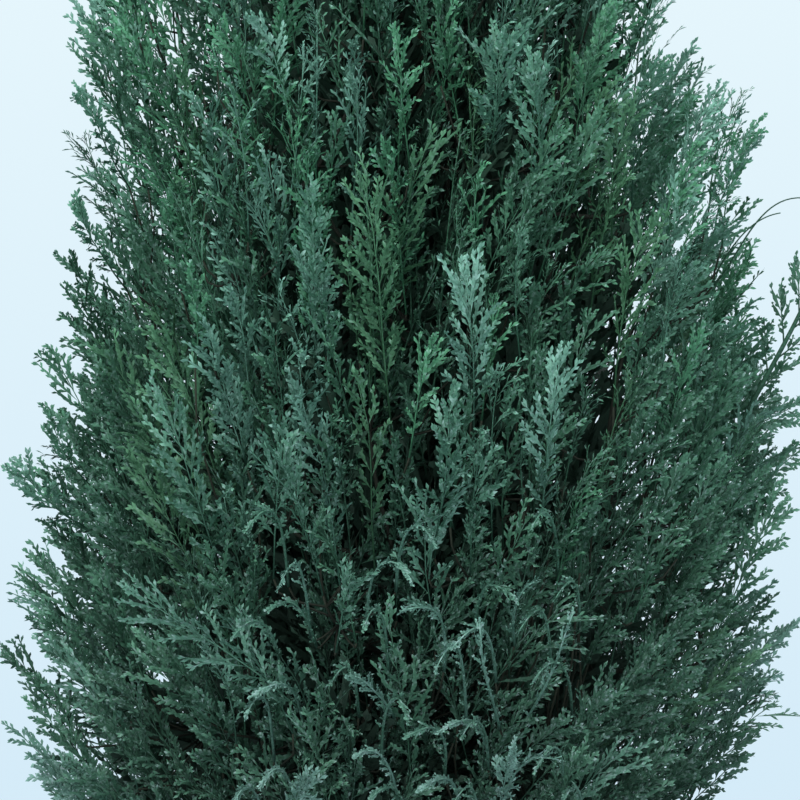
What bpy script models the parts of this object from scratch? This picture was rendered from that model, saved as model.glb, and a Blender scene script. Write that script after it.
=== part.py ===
"""A young lawson cypress: one leader, ascending boughs and masses of flat sprays.

Metres, with +Z up. The origin is the middle of the flat cut under the trunk.
The crown is divided into spaces, one to a mass of foliage. A bough climbs from
the trunk to the foot of each space, and the mass's own stem takes over there,
0.3 mm clear. The stem runs up into a dense core, and toothed sprays stand out
of the core on stalks, each with its tip on the crown's outline.
"""

import itertools
import math

import bmesh
import bpy
import numpy as np
from mathutils.bvhtree import BVHTree

# The whole tree
HEIGHT = 0.93
CROWN_RADIUS = 0.178
WIDEST_HEIGHT = 0.265
CROWN_FOOT = 0.032
TAPER_POWER = 1.8
FOOT_POWER = 2.2
LOBE_SHARE = 0.045
SEED = 7

# The trunk
TRUNK_TIP = 0.72
TRUNK_RADIUS = 0.0088
TRUNK_TIP_RADIUS = 0.0022
ROOT_FLARE = 0.85
FLARE_HEIGHT = 0.016
STRAIGHT_FOOT = 0.012
TRUNK_LEAN = 0.010
TRUNK_SWAY = 0.0045
TRUNK_POINTS = 16

# Tiers of foliage: name, height of the middles, masses, first azimuth, height of the roots
TIERS = (
    ("skirt", 0.105, 5, -20, 0.052),
    ("lower", 0.184, 6, 0, 0.102),
    ("middle", 0.292, 6, 30, 0.180),
    ("upper", 0.440, 5, 27, 0.318),
    ("high", 0.588, 4, 20, 0.466),
)
SPIRE_MIDDLE = 0.745
SPIRE_TIP = 0.930
MIDDLE_SHARE = 0.64
INNER_SHARE = 0.36
ENTRY_SHARE = 0.52
ENTRY_DROP = 0.42
ROOT_STAGGER = 0.008
MIDDLE_STAGGER = 0.0028

# The spaces between the masses
CLIMB_START = 0.40
CLIMB_BEND = 0.65
FULL_CLIMB_HEIGHT = 0.36
STEEPEST_CLIMB = 1.5
UPRIGHT_STRETCH = 0.62
SPACE_GAP = 0.0008
LIMB_GAP = 0.0014
JOINT_GAP = 0.0003
OUTLINE_SHARE = 1.02
OUTLINE_SLACK = 0.004

# Boughs and stems
BOUGH_RADIUS = 0.0032
BOUGH_TIP_RADIUS = 0.0019
BOUGH_POINTS = 6
BOUGH_OUT_SHARE = 0.72
BOUGH_RISE_SHARE = 0.30
STEM_TIP_RADIUS = 0.0009
STEM_POINTS = 6
STEM_FOOT = 0.003
STEM_HANDLE = 0.45
STEM_PAST_MIDDLE = 0.022
TRUNK_SIDES = 12
LIMB_SIDES = 6

# The cores that the sprays stand out of
CORE_SHARE = 0.79
CORE_INNER_SHARE = 0.47
CORE_GAP = 0.0022
CORE_LIMB_GAP = 0.0080
CORE_TOP_GAP = 0.0805
CORE_BUMP = 0.09
CORE_RAY = 0.22
CORE_RAY_STEPS = 111

# The sprays
SPRAY_SITES = 422
SPRAY_LENGTH = 0.088
SPRAY_HALF_WIDTH = 0.0135
SPRAY_SINK = 0.005
LONGEST_STALK = 0.060
STALK_STEP = 0.0025
STALK_AIM = 0.4
SPRAY_ROOM = 0.62
SPRAY_BODY = 0.55
LEAST_SIZE = 0.78
SIZE_SPREAD = 0.44
SHRINKS = (1.0, 0.86, 0.72, 0.60)
NUDGES = (0.0, 0.05, -0.05, 0.10, -0.10)
SPRAY_THICKNESS = 0.0016
STEEP_LEAN = math.radians(13)
FLAT_LEAN = math.radians(66)
LEAN_HEIGHT = 0.235
LEAN_POWER = 2.6
LEAN_SPREAD = math.radians(7)
TIP_SPREAD = 0.07
NOD = math.radians(9)
SWING = math.radians(13)
TWIST = math.radians(52)
LOWEST_TIP = 0.022

# One long wayward shoot that stands out of the crown on the right
WAYWARD_AZIMUTH = math.radians(-16)
WAYWARD_LINE = ((0.140, 0.300), (0.172, 0.362), (0.192, 0.414), (0.204, 0.452), (0.209, 0.480))
WAYWARD_SPRAYS = ((1, 0.034, 1), (2, 0.040, -1), (3, 0.030, 1), (4, 0.022, -1))
WAYWARD_HALF_WIDTH = 0.0055
WAYWARD_RADIUS = 0.0018
WAYWARD_TIP_RADIUS = 0.0007

UP = np.array((0.0, 0.0, 1.0))
GOLDEN = (0.7548776662466927, 0.5698402909980532)


def chance(index, salt):
    """A number from 0 to 1 that depends on a site's index and a salt alone."""
    wave = np.sin(np.asarray(index, float) * 12.9898 + (salt + SEED) * 78.233) * 43758.5453
    return wave - np.floor(wave)


def crown_radius(height):
    """The crown's radius at a height: an ogive above the widest place, a parabola below."""
    above = np.clip((height - WIDEST_HEIGHT) / (HEIGHT - WIDEST_HEIGHT), 0, 1)
    below = np.clip((WIDEST_HEIGHT - height) / (WIDEST_HEIGHT - CROWN_FOOT), 0, 1)
    return CROWN_RADIUS * (1 - above**TAPER_POWER) * (1 - below**FOOT_POWER)


def outline_radius(height, azimuth):
    """The crown's radius with its shallow lobes."""
    lobes = np.sin(5 * azimuth + 11 * height) + 0.6 * np.sin(3 * azimuth - 23 * height + 1)
    return crown_radius(height) * (1 + LOBE_SHARE * lobes / 1.6)


def axis_at(height):
    """The middle of the trunk and crown at a height, as (x, y) rows."""
    rise = np.maximum(np.asarray(height, float) - STRAIGHT_FOOT, 0) / HEIGHT
    x = TRUNK_LEAN * rise**2 + TRUNK_SWAY * rise * np.sin(9 * rise)
    y = TRUNK_SWAY * rise * np.sin(7 * rise + 0.6)
    return np.stack((x, y), axis=-1)


def trunk_radius(height):
    """The trunk's radius at a height, with its flare at the foot."""
    share = np.clip(np.asarray(height, float) / TRUNK_TIP, 0, 1)
    plain = TRUNK_RADIUS + (TRUNK_TIP_RADIUS - TRUNK_RADIUS) * share
    return plain * (1 + ROOT_FLARE * np.exp(-np.asarray(height, float) / FLARE_HEIGHT))


def lean_at(height):
    """How far the shoots at a height lean outwards from the upright."""
    return STEEP_LEAN + (FLAT_LEAN - STEEP_LEAN) / (1 + (np.maximum(height, 0) / LEAN_HEIGHT) ** LEAN_POWER)


def out_and_round(azimuth):
    """The unit vectors outwards and round the trunk at an azimuth."""
    out = np.array((math.cos(azimuth), math.sin(azimuth), 0.0))
    return out, np.array((-out[1], out[0], 0.0))


def on_axis(height, radius=0.0, azimuth=0.0):
    """The point at a height, a radius and an azimuth round the crown's axis."""
    out, _ = out_and_round(azimuth)
    return np.array((*axis_at(height), height)) + radius * out


def unit(vector):
    """The vector at a length of one."""
    return vector / np.linalg.norm(vector)


def bend(start, control, end, shares):
    """Points of a quadratic curve at shares of its way."""
    t = np.asarray(shares, float)[:, None]
    return (1 - t) ** 2 * start + 2 * t * (1 - t) * control + t**2 * end


def climb(radius, height):
    """How far shoots have climbed from the trunk to a radius, on their way to a height."""
    full = np.maximum(crown_radius(height), 0.03)
    share = np.minimum(radius / full, 1.2)
    ramp = np.clip(height / FULL_CLIMB_HEIGHT, 0.25, STEEPEST_CLIMB)
    return ramp * full * (CLIMB_START * share + CLIMB_BEND * share**2)


def crown_places(points):
    """Coordinates in which a mass's space is a cell round its middle.

    Heights are lowered by the climb of the shoots, so that the spaces lean outwards as the
    boughs do, and then compressed, so that they are taller than wide.
    """
    offset = points[:, :2] - axis_at(points[:, 2])
    lowered = points[:, 2] - climb(np.hypot(offset[:, 0], offset[:, 1]), points[:, 2])
    return np.column_stack((offset, UPRIGHT_STRETCH * lowered))


def crown_points(places):
    """The points at such places, found by raising each height until its climb agrees."""
    lowered = places[:, 2] / UPRIGHT_STRETCH
    radius = np.hypot(places[:, 0], places[:, 1])
    height = lowered
    for _ in range(40):
        height = 0.5 * height + 0.5 * (lowered + climb(radius, height))
    return np.column_stack((places[:, :2] + axis_at(height), height))


def planned_masses():
    """The masses of foliage, each with its name, azimuth, middle and bough."""
    masses = []
    for name, middle, count, first, root in TIERS:
        for turn in range(count):
            azimuth = 2 * math.pi * turn / count + math.radians(first)
            height = middle + MIDDLE_STAGGER * (-1) ** turn
            radius = MIDDLE_SHARE * crown_radius(height)
            drop = ENTRY_DROP * (height - root)
            masses.append(
                {
                    "name": f"{name}_{turn + 1}",
                    "azimuth": azimuth,
                    "middle": on_axis(height, radius, azimuth),
                    "entry": on_axis(height - drop, ENTRY_SHARE * radius, azimuth),
                    "root": root + ROOT_STAGGER * (-1) ** turn,
                }
            )
    masses.append({"name": "spire", "azimuth": 0.0, "middle": on_axis(SPIRE_MIDDLE), "entry": None})
    return masses


def nearness(points, masses):
    """How far each point lies inside the cell of each mass, against its nearest rival."""
    places = crown_places(points)
    middles = crown_places(np.array([mass["middle"] for mass in masses]))
    square = ((places[:, None, :] - middles[None]) ** 2).sum(axis=2)
    spread = np.linalg.norm(middles[:, None] - middles[None], axis=2)
    np.fill_diagonal(spread, np.inf)
    inside = np.empty_like(square)
    for own in range(len(masses)):
        lead = (square - square[:, own, None]) / (2 * spread[own])
        lead[:, own] = np.inf
        inside[:, own] = lead.min(axis=1)
    return inside


def limb_clearance(points, limbs):
    """The least distance from each point to the surface of any limb."""
    least = np.full(len(points), np.inf)
    for line, radii in limbs:
        start, run = line[:-1], np.diff(line, axis=0)
        away = points[:, None, :] - start[None]
        share = np.clip((away * run).sum(axis=2) / (run**2).sum(axis=1), 0, 1)
        gap = np.linalg.norm(away - share[..., None] * run, axis=2)
        surface = gap - (radii[:-1] + share * np.diff(radii))
        least = np.minimum(least, surface.min(axis=1))
    return least


def fits(points, own, masses, limbs):
    """Which points lie in a mass's own space, clear of the limbs and the ground."""
    good = lies_between(points, own, masses, OUTLINE_SHARE, INNER_SHARE)
    good &= nearness(points, masses)[:, own] >= SPACE_GAP
    good &= points[:, 2] <= HEIGHT
    return good & (limb_clearance(points, limbs) >= LIMB_GAP)


def fits_core(points, own, masses, limbs):
    """Which points lie in the smaller space of a mass's core."""
    good = lies_between(points, own, masses, CORE_SHARE, CORE_INNER_SHARE)
    good &= nearness(points, masses)[:, own] >= CORE_GAP
    good &= points[:, 2] <= HEIGHT - CORE_TOP_GAP
    return good & (limb_clearance(points, limbs) >= CORE_LIMB_GAP)


def lies_between(points, own, masses, outer, inner):
    """Which points lie above the lowest tips, between two shares of the crown's radius."""
    offset = points[:, :2] - axis_at(points[:, 2])
    radius = np.hypot(offset[:, 0], offset[:, 1])
    reach = outline_radius(points[:, 2], np.arctan2(offset[:, 1], offset[:, 0]))
    good = (radius <= outer * reach + OUTLINE_SLACK) & (points[:, 2] >= LOWEST_TIP)
    if masses[own]["entry"] is not None:
        good &= radius >= inner * crown_radius(points[:, 2])
    return good


def material(name, colour, roughness):
    """A plain finish with no metal in it."""
    made = bpy.data.materials.new(name)
    made.use_nodes = True
    shader = made.node_tree.nodes["Principled BSDF"]
    shader.inputs["Base Color"].default_value = (*colour, 1)
    shader.inputs["Roughness"].default_value = roughness
    shader.inputs["Metallic"].default_value = 0
    return made


def new_object(name, mesh, collection):
    made = bpy.data.objects.new(name, mesh)
    collection.objects.link(made)
    return made


def triangle_profile():
    """A three-sided section, the sweep of a twig."""
    curve = bpy.data.curves.new("twig_section", "CURVE")
    curve.dimensions = "2D"
    spline = curve.splines.new("POLY")
    spline.points.add(2)
    for turn, point in enumerate(spline.points):
        angle = 2 * math.pi * turn / 3
        point.co = (math.cos(angle), math.sin(angle), 0, 1)
    spline.use_cyclic_u = True
    return curve


def limb(name, line, radii, sides, helpers):
    """A tapering round limb along a line, as a closed mesh object in the helpers."""
    curve = bpy.data.curves.new(name + "_line", "CURVE")
    curve.dimensions = "3D"
    curve.use_fill_caps = True
    section = None
    if sides == 3:
        section = new_object(name + "_section", triangle_profile(), helpers)
        curve.bevel_mode = "OBJECT"
        curve.bevel_object = section
    else:
        curve.bevel_depth = 1.0
        curve.bevel_resolution = (sides - 4) // 2
    spline = curve.splines.new("POLY")
    spline.points.add(len(line) - 1)
    for point, place, radius in zip(spline.points, line, radii):
        point.co = (*place, 1)
        point.radius = radius
    sweep = new_object(name + "_sweep", curve, helpers)
    bpy.context.view_layer.update()
    graph = bpy.context.evaluated_depsgraph_get()
    mesh = bpy.data.meshes.new_from_object(sweep.evaluated_get(graph))
    mesh.name = name
    work = bmesh.new()
    work.from_mesh(mesh)
    bmesh.ops.remove_doubles(work, verts=work.verts, dist=1e-6)
    bmesh.ops.recalc_face_normals(work, faces=work.faces)
    work.to_mesh(mesh)
    work.free()
    bpy.data.objects.remove(sweep)
    if section:
        bpy.data.objects.remove(section)
    return new_object(name, mesh, helpers)


def smooth(obj, angle=math.radians(50)):
    obj.data.shade_smooth()
    obj.data.set_sharp_from_angle(angle=angle)


def apply_boolean(obj, operation, solver, other=None, collection=None):
    """Cuts an object by another, or joins a collection to it, and keeps the result."""
    boolean = obj.modifiers.new("join", "BOOLEAN")
    boolean.operation = operation
    boolean.solver = solver
    if collection:
        boolean.operand_type = "COLLECTION"
        boolean.collection = collection
    else:
        boolean.object = other
    bpy.context.view_layer.update()
    graph = bpy.context.evaluated_depsgraph_get()
    mesh = bpy.data.meshes.new_from_object(obj.evaluated_get(graph))
    obj.modifiers.clear()
    obj.data = mesh


def keep_main_shell(obj):
    """Drops sealed hollows and loose scraps, so that one closed body is left."""
    work = bmesh.new()
    work.from_mesh(obj.data)
    bmesh.ops.triangulate(work, faces=work.faces)
    left = set(work.faces)
    shells = []
    while left:
        shell, rim = set(), [left.pop()]
        while rim:
            face = rim.pop()
            shell.add(face)
            plain = [edge for edge in face.edges if len(edge.link_faces) == 2]
            beside = {other for edge in plain for other in edge.link_faces} & left
            left -= beside
            rim += beside
        shells.append(shell)
    main = max(shells, key=len)
    extra = [face for shell in shells if shell is not main for face in shell]
    bmesh.ops.delete(work, geom=extra, context="FACES")
    work.to_mesh(obj.data)
    work.free()


def trunk_line():
    """The trunk's line and radii, with closer points where it flares at the foot."""
    heights = np.linspace(0, TRUNK_TIP, TRUNK_POINTS)
    heights[1:4] = (0.35 * STRAIGHT_FOOT, STRAIGHT_FOOT, 2.2 * STRAIGHT_FOOT)
    return np.column_stack((axis_at(heights), heights)), trunk_radius(heights)


def bough_line(mass):
    """A bough's line from inside the trunk to the foot of its mass."""
    out, _ = out_and_round(mass["azimuth"])
    start = on_axis(mass["root"])
    end = mass["entry"]
    rise = end[2] - start[2]
    reach = float((end - start) @ out)
    control = start + BOUGH_OUT_SHARE * reach * out + BOUGH_RISE_SHARE * rise * UP
    line = bend(start, control, end, np.linspace(0, 1, BOUGH_POINTS))
    radii = np.linspace(BOUGH_RADIUS, BOUGH_TIP_RADIUS, BOUGH_POINTS)
    return line, radii


def stem_curve(mass, limbs):
    """The start, control and end of a mass's stem, which carries on from its bough."""
    line, _ = limbs[0] if mass["entry"] is None else mass["bough"]
    heading = unit(line[-1] - line[-2])
    start = line[-1] + JOINT_GAP * heading
    if mass["entry"] is None:
        end = on_axis(SPIRE_TIP)
    else:
        out, _ = out_and_round(mass["azimuth"])
        lean = lean_at(mass["middle"][2])
        end = mass["middle"] + STEM_PAST_MIDDLE * (math.sin(lean) * out + math.cos(lean) * UP)
    control = start + STEM_HANDLE * np.linalg.norm(end - start) * heading
    return start, control, end


def spray_sites(count):
    """Evenly spread places on the crown's surface, as heights and azimuths.

    Two additive sequences with the plastic number's ratios, laid out by area.
    """
    index = np.arange(count)
    heights = np.linspace(CROWN_FOOT, HEIGHT, 600)
    radii = crown_radius(heights)
    strip = np.hypot(np.diff(heights), np.diff(radii)) * (radii[1:] + radii[:-1]) / 2 + 2e-6
    area = np.concatenate(([0], np.cumsum(strip)))
    share = (0.5 + index * GOLDEN[0]) % 1
    turn = (0.5 + index * GOLDEN[1]) % 1
    return np.interp(share, area / area[-1], heights), 2 * math.pi * turn


def spray_axis(index, height, azimuth, length, turn=1):
    """A spray's axis, start, control and end, and the unit vector of its flat's side.

    A turn of -1 swings and twists it the other way.
    """
    out, around = out_and_round(azimuth)
    lean = lean_at(height) + LEAN_SPREAD * (2 * chance(index, 1) - 1)
    nod = NOD * (0.4 + 1.2 * chance(index, 2))
    swing = turn * SWING * (2 * chance(index, 3) - 1)
    radius = outline_radius(height, azimuth) * (1 - TIP_SPREAD * chance(index, 4))
    tip = on_axis(height, radius, azimuth)
    first = math.sin(lean - nod) * out + math.cos(lean - nod) * UP + swing * around
    last = math.sin(lean + nod) * out + math.cos(lean + nod) * UP + swing * around
    control = tip - 0.5 * length * unit(last)
    base = control - 0.5 * length * unit(first)
    twist = turn * TWIST * (2 * chance(index, 5) - 1)
    ahead = unit(tip - base)
    in_plane = unit(out - (out @ ahead) * ahead)
    side = math.cos(twist) * in_plane + math.sin(twist) * np.cross(ahead, in_plane)
    return (base, control, tip), side


# A spray's blade: (share of length, share of half width), teeth and notches in turn
RIGHT_TEETH = ((0.52, 0.86), (0.47, 0.32), (0.82, 0.74))
LEFT_TEETH = ((0.68, 1.00), (0.62, 0.34), (0.92, 0.52))
RIDGE = 0.55


def spray_template():
    """The blade's corners as (along, across, up), and its faces.

    The toothed rim is closed by a low cone above and another below.
    """
    right = [(along, across, 0.0) for along, across in RIGHT_TEETH]
    left = [(along, -across, 0.0) for along, across in LEFT_TEETH]
    rim = [(0.0, 0.0, 0.0), *right, (1.0, 0.0, 0.0), *reversed(left)]
    count = len(rim)
    faces = [(step, (step + 1) % count, count) for step in range(count)]
    faces += [((step + 1) % count, step, count + 1) for step in range(count)]
    return np.array([*rim, (RIDGE, 0.0, 0.5), (RIDGE, 0.0, -0.5)]), faces


def spray_corners(curve, side, half_width):
    """A blade's corners, carried along the spray's axis."""
    corners, _ = spray_template()
    middle = bend(*curve, corners[:, 0])
    ahead = unit(curve[2] - curve[0])
    normal = np.cross(ahead, side)
    wide = corners[:, 1, None] * half_width * side
    return middle + wide + corners[:, 2, None] * SPRAY_THICKNESS * normal


def spray_object(name, corners, helpers):
    """A blade as a closed mesh object."""
    mesh = bpy.data.meshes.new(name)
    work = bmesh.new()
    verts = [work.verts.new(corner) for corner in corners]
    for face in spray_template()[1]:
        work.faces.new([verts[index] for index in face])
    bmesh.ops.recalc_face_normals(work, faces=work.faces)
    work.to_mesh(mesh)
    work.free()
    return new_object(name, mesh, helpers)


def depth_in(core, point):
    """How deep a point lies under a core's surface; less than nothing outside it."""
    _, near, normal, _ = core.closest_point_on_mesh(point)
    return float((np.array(near) - point) @ np.array(normal))


def stalk_root(core, stem, base):
    """Where a spray's stalk is sunk in the core on its way to the stem, if it gets there."""
    inwards = unit(bend(*stem, (STALK_AIM,))[0] - base)
    for reach in np.arange(0, LONGEST_STALK, STALK_STEP):
        if depth_in(core, base + reach * inwards) >= SPRAY_SINK:
            return base + reach * inwards
    return None


def grow_sprays(masses, limbs):
    """Deals the sites out to the masses, and keeps each spray that fits its space.

    A spray that would cross an earlier one of its mass is skipped too.
    """
    heights, azimuths = spray_sites(SPRAY_SITES)
    for index in range(SPRAY_SITES):
        size = LEAST_SIZE + SIZE_SPREAD * chance(index, 6)
        room = SPRAY_ROOM * crown_radius(heights[index]) / math.sin(lean_at(heights[index]))
        size *= min(1, room / SPRAY_LENGTH)
        for shrink, nudge, turn in itertools.product(SHRINKS, NUDGES, (1, -1)):
            width = SPRAY_HALF_WIDTH * size * shrink
            length = SPRAY_LENGTH * size * shrink
            azimuth = azimuths[index] + nudge
            curve, side = spray_axis(index, heights[index], azimuth, length, turn)
            own = int(nearness(bend(*curve, (SPRAY_BODY,)), masses).argmax())
            corners = spray_corners(curve, side, width)
            if keep_spray(masses, limbs, own, corners):
                break


def keep_spray(masses, limbs, own, corners):
    """Sinks a spray's stalk in its mass and keeps it, where it fits."""
    mass = masses[own]
    if not fits(corners, own, masses, limbs).all():
        return False
    root = stalk_root(mass["core"], mass["stem"], corners[0])
    if root is None or not fits(root[None], own, masses, limbs).all():
        return False
    corners[0] = root
    tree = BVHTree.FromPolygons(corners.tolist(), spray_template()[1])
    if any(tree.overlap(other) for _, other in mass["sprays"]):
        return False
    mass["sprays"].append((corners, tree))
    return True


def core_object(own, masses, limbs, helpers):
    """The dense inside of a mass: a ball pushed out to a share of its space, with bumps."""
    mass = masses[own]
    bpy.ops.mesh.primitive_ico_sphere_add(subdivisions=2, radius=1.0, location=(0, 0, 0))
    core = bpy.context.object
    for collection in core.users_collection:
        collection.objects.unlink(core)
    helpers.objects.link(core)
    core.name = mass["name"] + "_core"
    steps = np.linspace(0.0, CORE_RAY, CORE_RAY_STEPS)
    middle = crown_places(mass["middle"][None])
    for number, vert in enumerate(core.data.vertices):
        heading = np.array(vert.co)
        ray = crown_points(middle + steps[:, None] * heading)
        good = fits_core(ray, own, masses, limbs)
        reach = steps[max(int(np.argmin(good)) - 1, 0)] if not good.all() else steps[-1]
        bump = 1 - CORE_BUMP * chance(number + 100 * own, 8)
        vert.co = crown_points(middle + reach * bump * heading)[0]
    core.data.update()
    return core


def build_mass(own, masses, limbs, leaf, collection, helpers):
    """One mass: its core, stem and sprays, joined into one solid."""
    mass = masses[own]
    pieces = bpy.data.collections.new(mass["name"] + "_pieces")
    bpy.context.scene.collection.children.link(pieces)
    core = mass["core"]
    start, control, _ = mass["stem"]
    onward = start + STEM_FOOT * unit(control - start)
    stem = np.vstack((start, onward, bend(*mass["stem"], np.linspace(0.25, 1, STEM_POINTS - 2))))
    first = limbs[0][1][-1] if mass["entry"] is None else BOUGH_TIP_RADIUS
    radii = np.linspace(first, STEM_TIP_RADIUS, STEM_POINTS)
    limb(mass["name"] + "_stem", stem, radii, LIMB_SIDES, pieces)
    for number, (corners, _) in enumerate(mass["sprays"]):
        spray_object(f"{mass['name']}_spray_{number}", corners, pieces)
    if own == wayward_mass(masses):
        wayward_shoot(mass, pieces)
    apply_boolean(core, "UNION", "MANIFOLD", collection=pieces)
    keep_main_shell(core)
    for piece in list(pieces.objects):
        bpy.data.objects.remove(piece)
    bpy.data.collections.remove(pieces)
    helpers.objects.unlink(core)
    collection.objects.link(core)
    core.name = "foliage_" + mass["name"]
    core.data.name = core.name
    core.data.materials.clear()
    core.data.materials.append(leaf)
    return core


def wayward_mass(masses):
    """Which mass the long shoot grows from."""
    radius, height = WAYWARD_LINE[0]
    return int(nearness(on_axis(height, radius, WAYWARD_AZIMUTH)[None], masses).argmax())


def wayward_shoot(mass, pieces):
    """The long shoot that stands out on the right, with a few short sprays along it."""
    line = np.array([on_axis(height, radius, WAYWARD_AZIMUTH) for radius, height in WAYWARD_LINE])
    root = stalk_root(mass["core"], mass["stem"], line[0])
    line = np.vstack((root, line))
    radii = np.linspace(WAYWARD_RADIUS, WAYWARD_TIP_RADIUS, len(line))
    limb("wayward_shoot", line, radii, 3, pieces)
    _, around = out_and_round(WAYWARD_AZIMUTH)
    for number, (point, length, turn) in enumerate(WAYWARD_SPRAYS):
        ahead = unit(line[point + 1] - line[point])
        across = unit(np.cross(around, ahead)) * turn
        start = line[point + 1] - 0.2 * length * ahead
        turned = start + 0.5 * length * unit(ahead + 0.3 * across)
        tip = turned + 0.5 * length * unit(ahead + 0.7 * across)
        corners = spray_corners((start, turned, tip), across, WAYWARD_HALF_WIDTH)
        spray_object(f"wayward_spray_{number}", corners, pieces)


def build():
    """The whole tree: trunk, boughs and masses, each an object of its own."""
    for obj in list(bpy.data.objects):
        bpy.data.objects.remove(obj)
    tree = bpy.data.collections.new("lawson_cypress")
    helpers = bpy.data.collections.new("helpers")
    bpy.context.scene.collection.children.link(tree)
    bpy.context.scene.collection.children.link(helpers)
    bark = material("bark", (0.16, 0.085, 0.05), 0.85)
    leaf = material("scale_leaves", (0.055, 0.16, 0.115), 0.6)

    masses = planned_masses()
    line, radii = trunk_line()
    trunk = limb("trunk", line, radii, TRUNK_SIDES, tree)
    cutter = limb("trunk_clearance", line, radii + JOINT_GAP, TRUNK_SIDES, helpers)
    cutter.display_type = "WIRE"
    cutter.hide_render = True
    limbs = [(line, radii)]
    for mass in masses[:-1]:
        mass["bough"] = bough_line(mass)
        limbs.append(mass["bough"])
    for mass in masses:
        mass["stem"] = stem_curve(mass, limbs)
        mass["sprays"] = []
    for own, mass in enumerate(masses):
        mass["core"] = core_object(own, masses, limbs, helpers)
    grow_sprays(masses, limbs)

    for mass in masses[:-1]:
        bough = limb("bough_" + mass["name"], *mass["bough"], LIMB_SIDES, tree)
        apply_boolean(bough, "DIFFERENCE", "EXACT", other=cutter)
        bough.data.materials.append(bark)
        smooth(bough)
    trunk.data.materials.append(bark)
    smooth(trunk)
    for own in range(len(masses)):
        build_mass(own, masses, limbs, leaf, tree, helpers)
    bpy.data.objects.remove(cutter)
    bpy.data.collections.remove(helpers)


build()
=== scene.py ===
"""Dresses a young lawson cypress with bark, twigs and flat sprays of scale leaves.

Metres, with +Z up, and the camera looks along +Y. The limbs and the places of the sprays
follow the rule of the solid model, carried on here to finer twigs: trunk, bough, stem,
branch, stalk, frond, side spray and tooth, each one grown from the last.
"""

import logging
import math
from dataclasses import dataclass, field
from enum import Enum, IntEnum

import bpy
import numpy as np
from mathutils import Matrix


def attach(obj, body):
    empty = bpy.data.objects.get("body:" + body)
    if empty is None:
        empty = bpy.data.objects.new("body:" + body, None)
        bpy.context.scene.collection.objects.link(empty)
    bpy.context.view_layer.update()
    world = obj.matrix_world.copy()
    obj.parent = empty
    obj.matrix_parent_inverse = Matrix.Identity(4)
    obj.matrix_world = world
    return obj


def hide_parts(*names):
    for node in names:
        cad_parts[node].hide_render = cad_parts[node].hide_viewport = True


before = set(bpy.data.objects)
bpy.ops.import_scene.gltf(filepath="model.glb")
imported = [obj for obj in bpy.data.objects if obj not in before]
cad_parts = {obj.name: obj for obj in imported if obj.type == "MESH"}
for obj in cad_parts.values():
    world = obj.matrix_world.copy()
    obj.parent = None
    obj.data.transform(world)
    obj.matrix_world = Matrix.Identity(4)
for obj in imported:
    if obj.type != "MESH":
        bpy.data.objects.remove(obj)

LOG = logging.getLogger("lawson_cypress")
Array = np.ndarray
Pair = tuple[float, float]
Triple = tuple[float, float, float]
Colour = tuple[float, float, float]
Quad = tuple[float, float, float, float]
Settings = dict[str, object]
Inputs = dict[int | str, object]
UP = np.array((0.0, 0.0, 1.0))
BODY = "root"
PIECE_LIMIT = 190_000
TURN = 2.4  # about the golden angle, which spreads numbered things round a circle


class Salt(IntEnum):
    """What a number by chance is for."""

    LEAN = 1
    NOD = 2
    SWING = 3
    DEPTH = 4
    TWIST = 5
    SIZE = 6
    SMALL_SIZE = 7
    ROLL = 8
    SMALL_DEPTH = 9
    WIDTH = 10
    SIDE_PLACE = 11
    SIDE_ANGLE = 12
    SIDE_LENGTH = 13
    SIDE_LIFT = 14
    SIDE_FORWARD = 15
    SIDE_CURL = 16
    TOOTH_ANGLE = 17
    LAST_TOOTH = 18
    TOOTH_TILT = 19
    TOOTH_SIZE = 20
    SIDE_SHADE = 21
    TOOTH_SHADE = 22
    SHORT_SIDE = 23
    GREEN = 31
    LUSH = 33
    FRESH = 34
    SPRIG_ANGLE = 40
    SPRIG_ASIDE = 41
    SPRIG_LENGTH = 42
    ARCH_WAY = 50
    ARCH_RISE = 51
    ARCH_REACH = 52
    ARCH_GREEN = 53


def unit(vectors: Array) -> Array:
    """Vectors at a length of one."""
    return vectors / np.maximum(np.linalg.norm(vectors, axis=-1, keepdims=True), 1e-12)


def dot(first: Array, second: Array) -> Array:
    """The products of vectors, as a last axis of one."""
    return (first * second).sum(axis=-1, keepdims=True)


def bend(start: Array, control: Array, end: Array, shares: Array) -> Array:
    """Points of quadratic curves.

    The point at share t is (1-t)^2 start + 2t(1-t) control + t^2 end.

    Args:
        start: Starts of the curves, (curves, 3).
        control: Their control points.
        end: Their ends.
        shares: Shares of the way, (points,) or (curves, points).

    Returns:
        The points, (curves, points, 3).
    """
    t = np.broadcast_to(shares, (len(start), np.shape(shares)[-1]))[..., None]
    return (1 - t) ** 2 * start[:, None] + 2 * t * (1 - t) * control[:, None] + t**2 * end[:, None]


def linked(name: str, data: bpy.types.ID) -> bpy.types.Object:
    """A new object in the scene.

    Args:
        name: Its name.
        data: Its mesh, light or camera.

    Returns:
        The object.
    """
    made = bpy.data.objects.new(name, data)
    bpy.context.scene.collection.objects.link(made)
    return made


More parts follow.
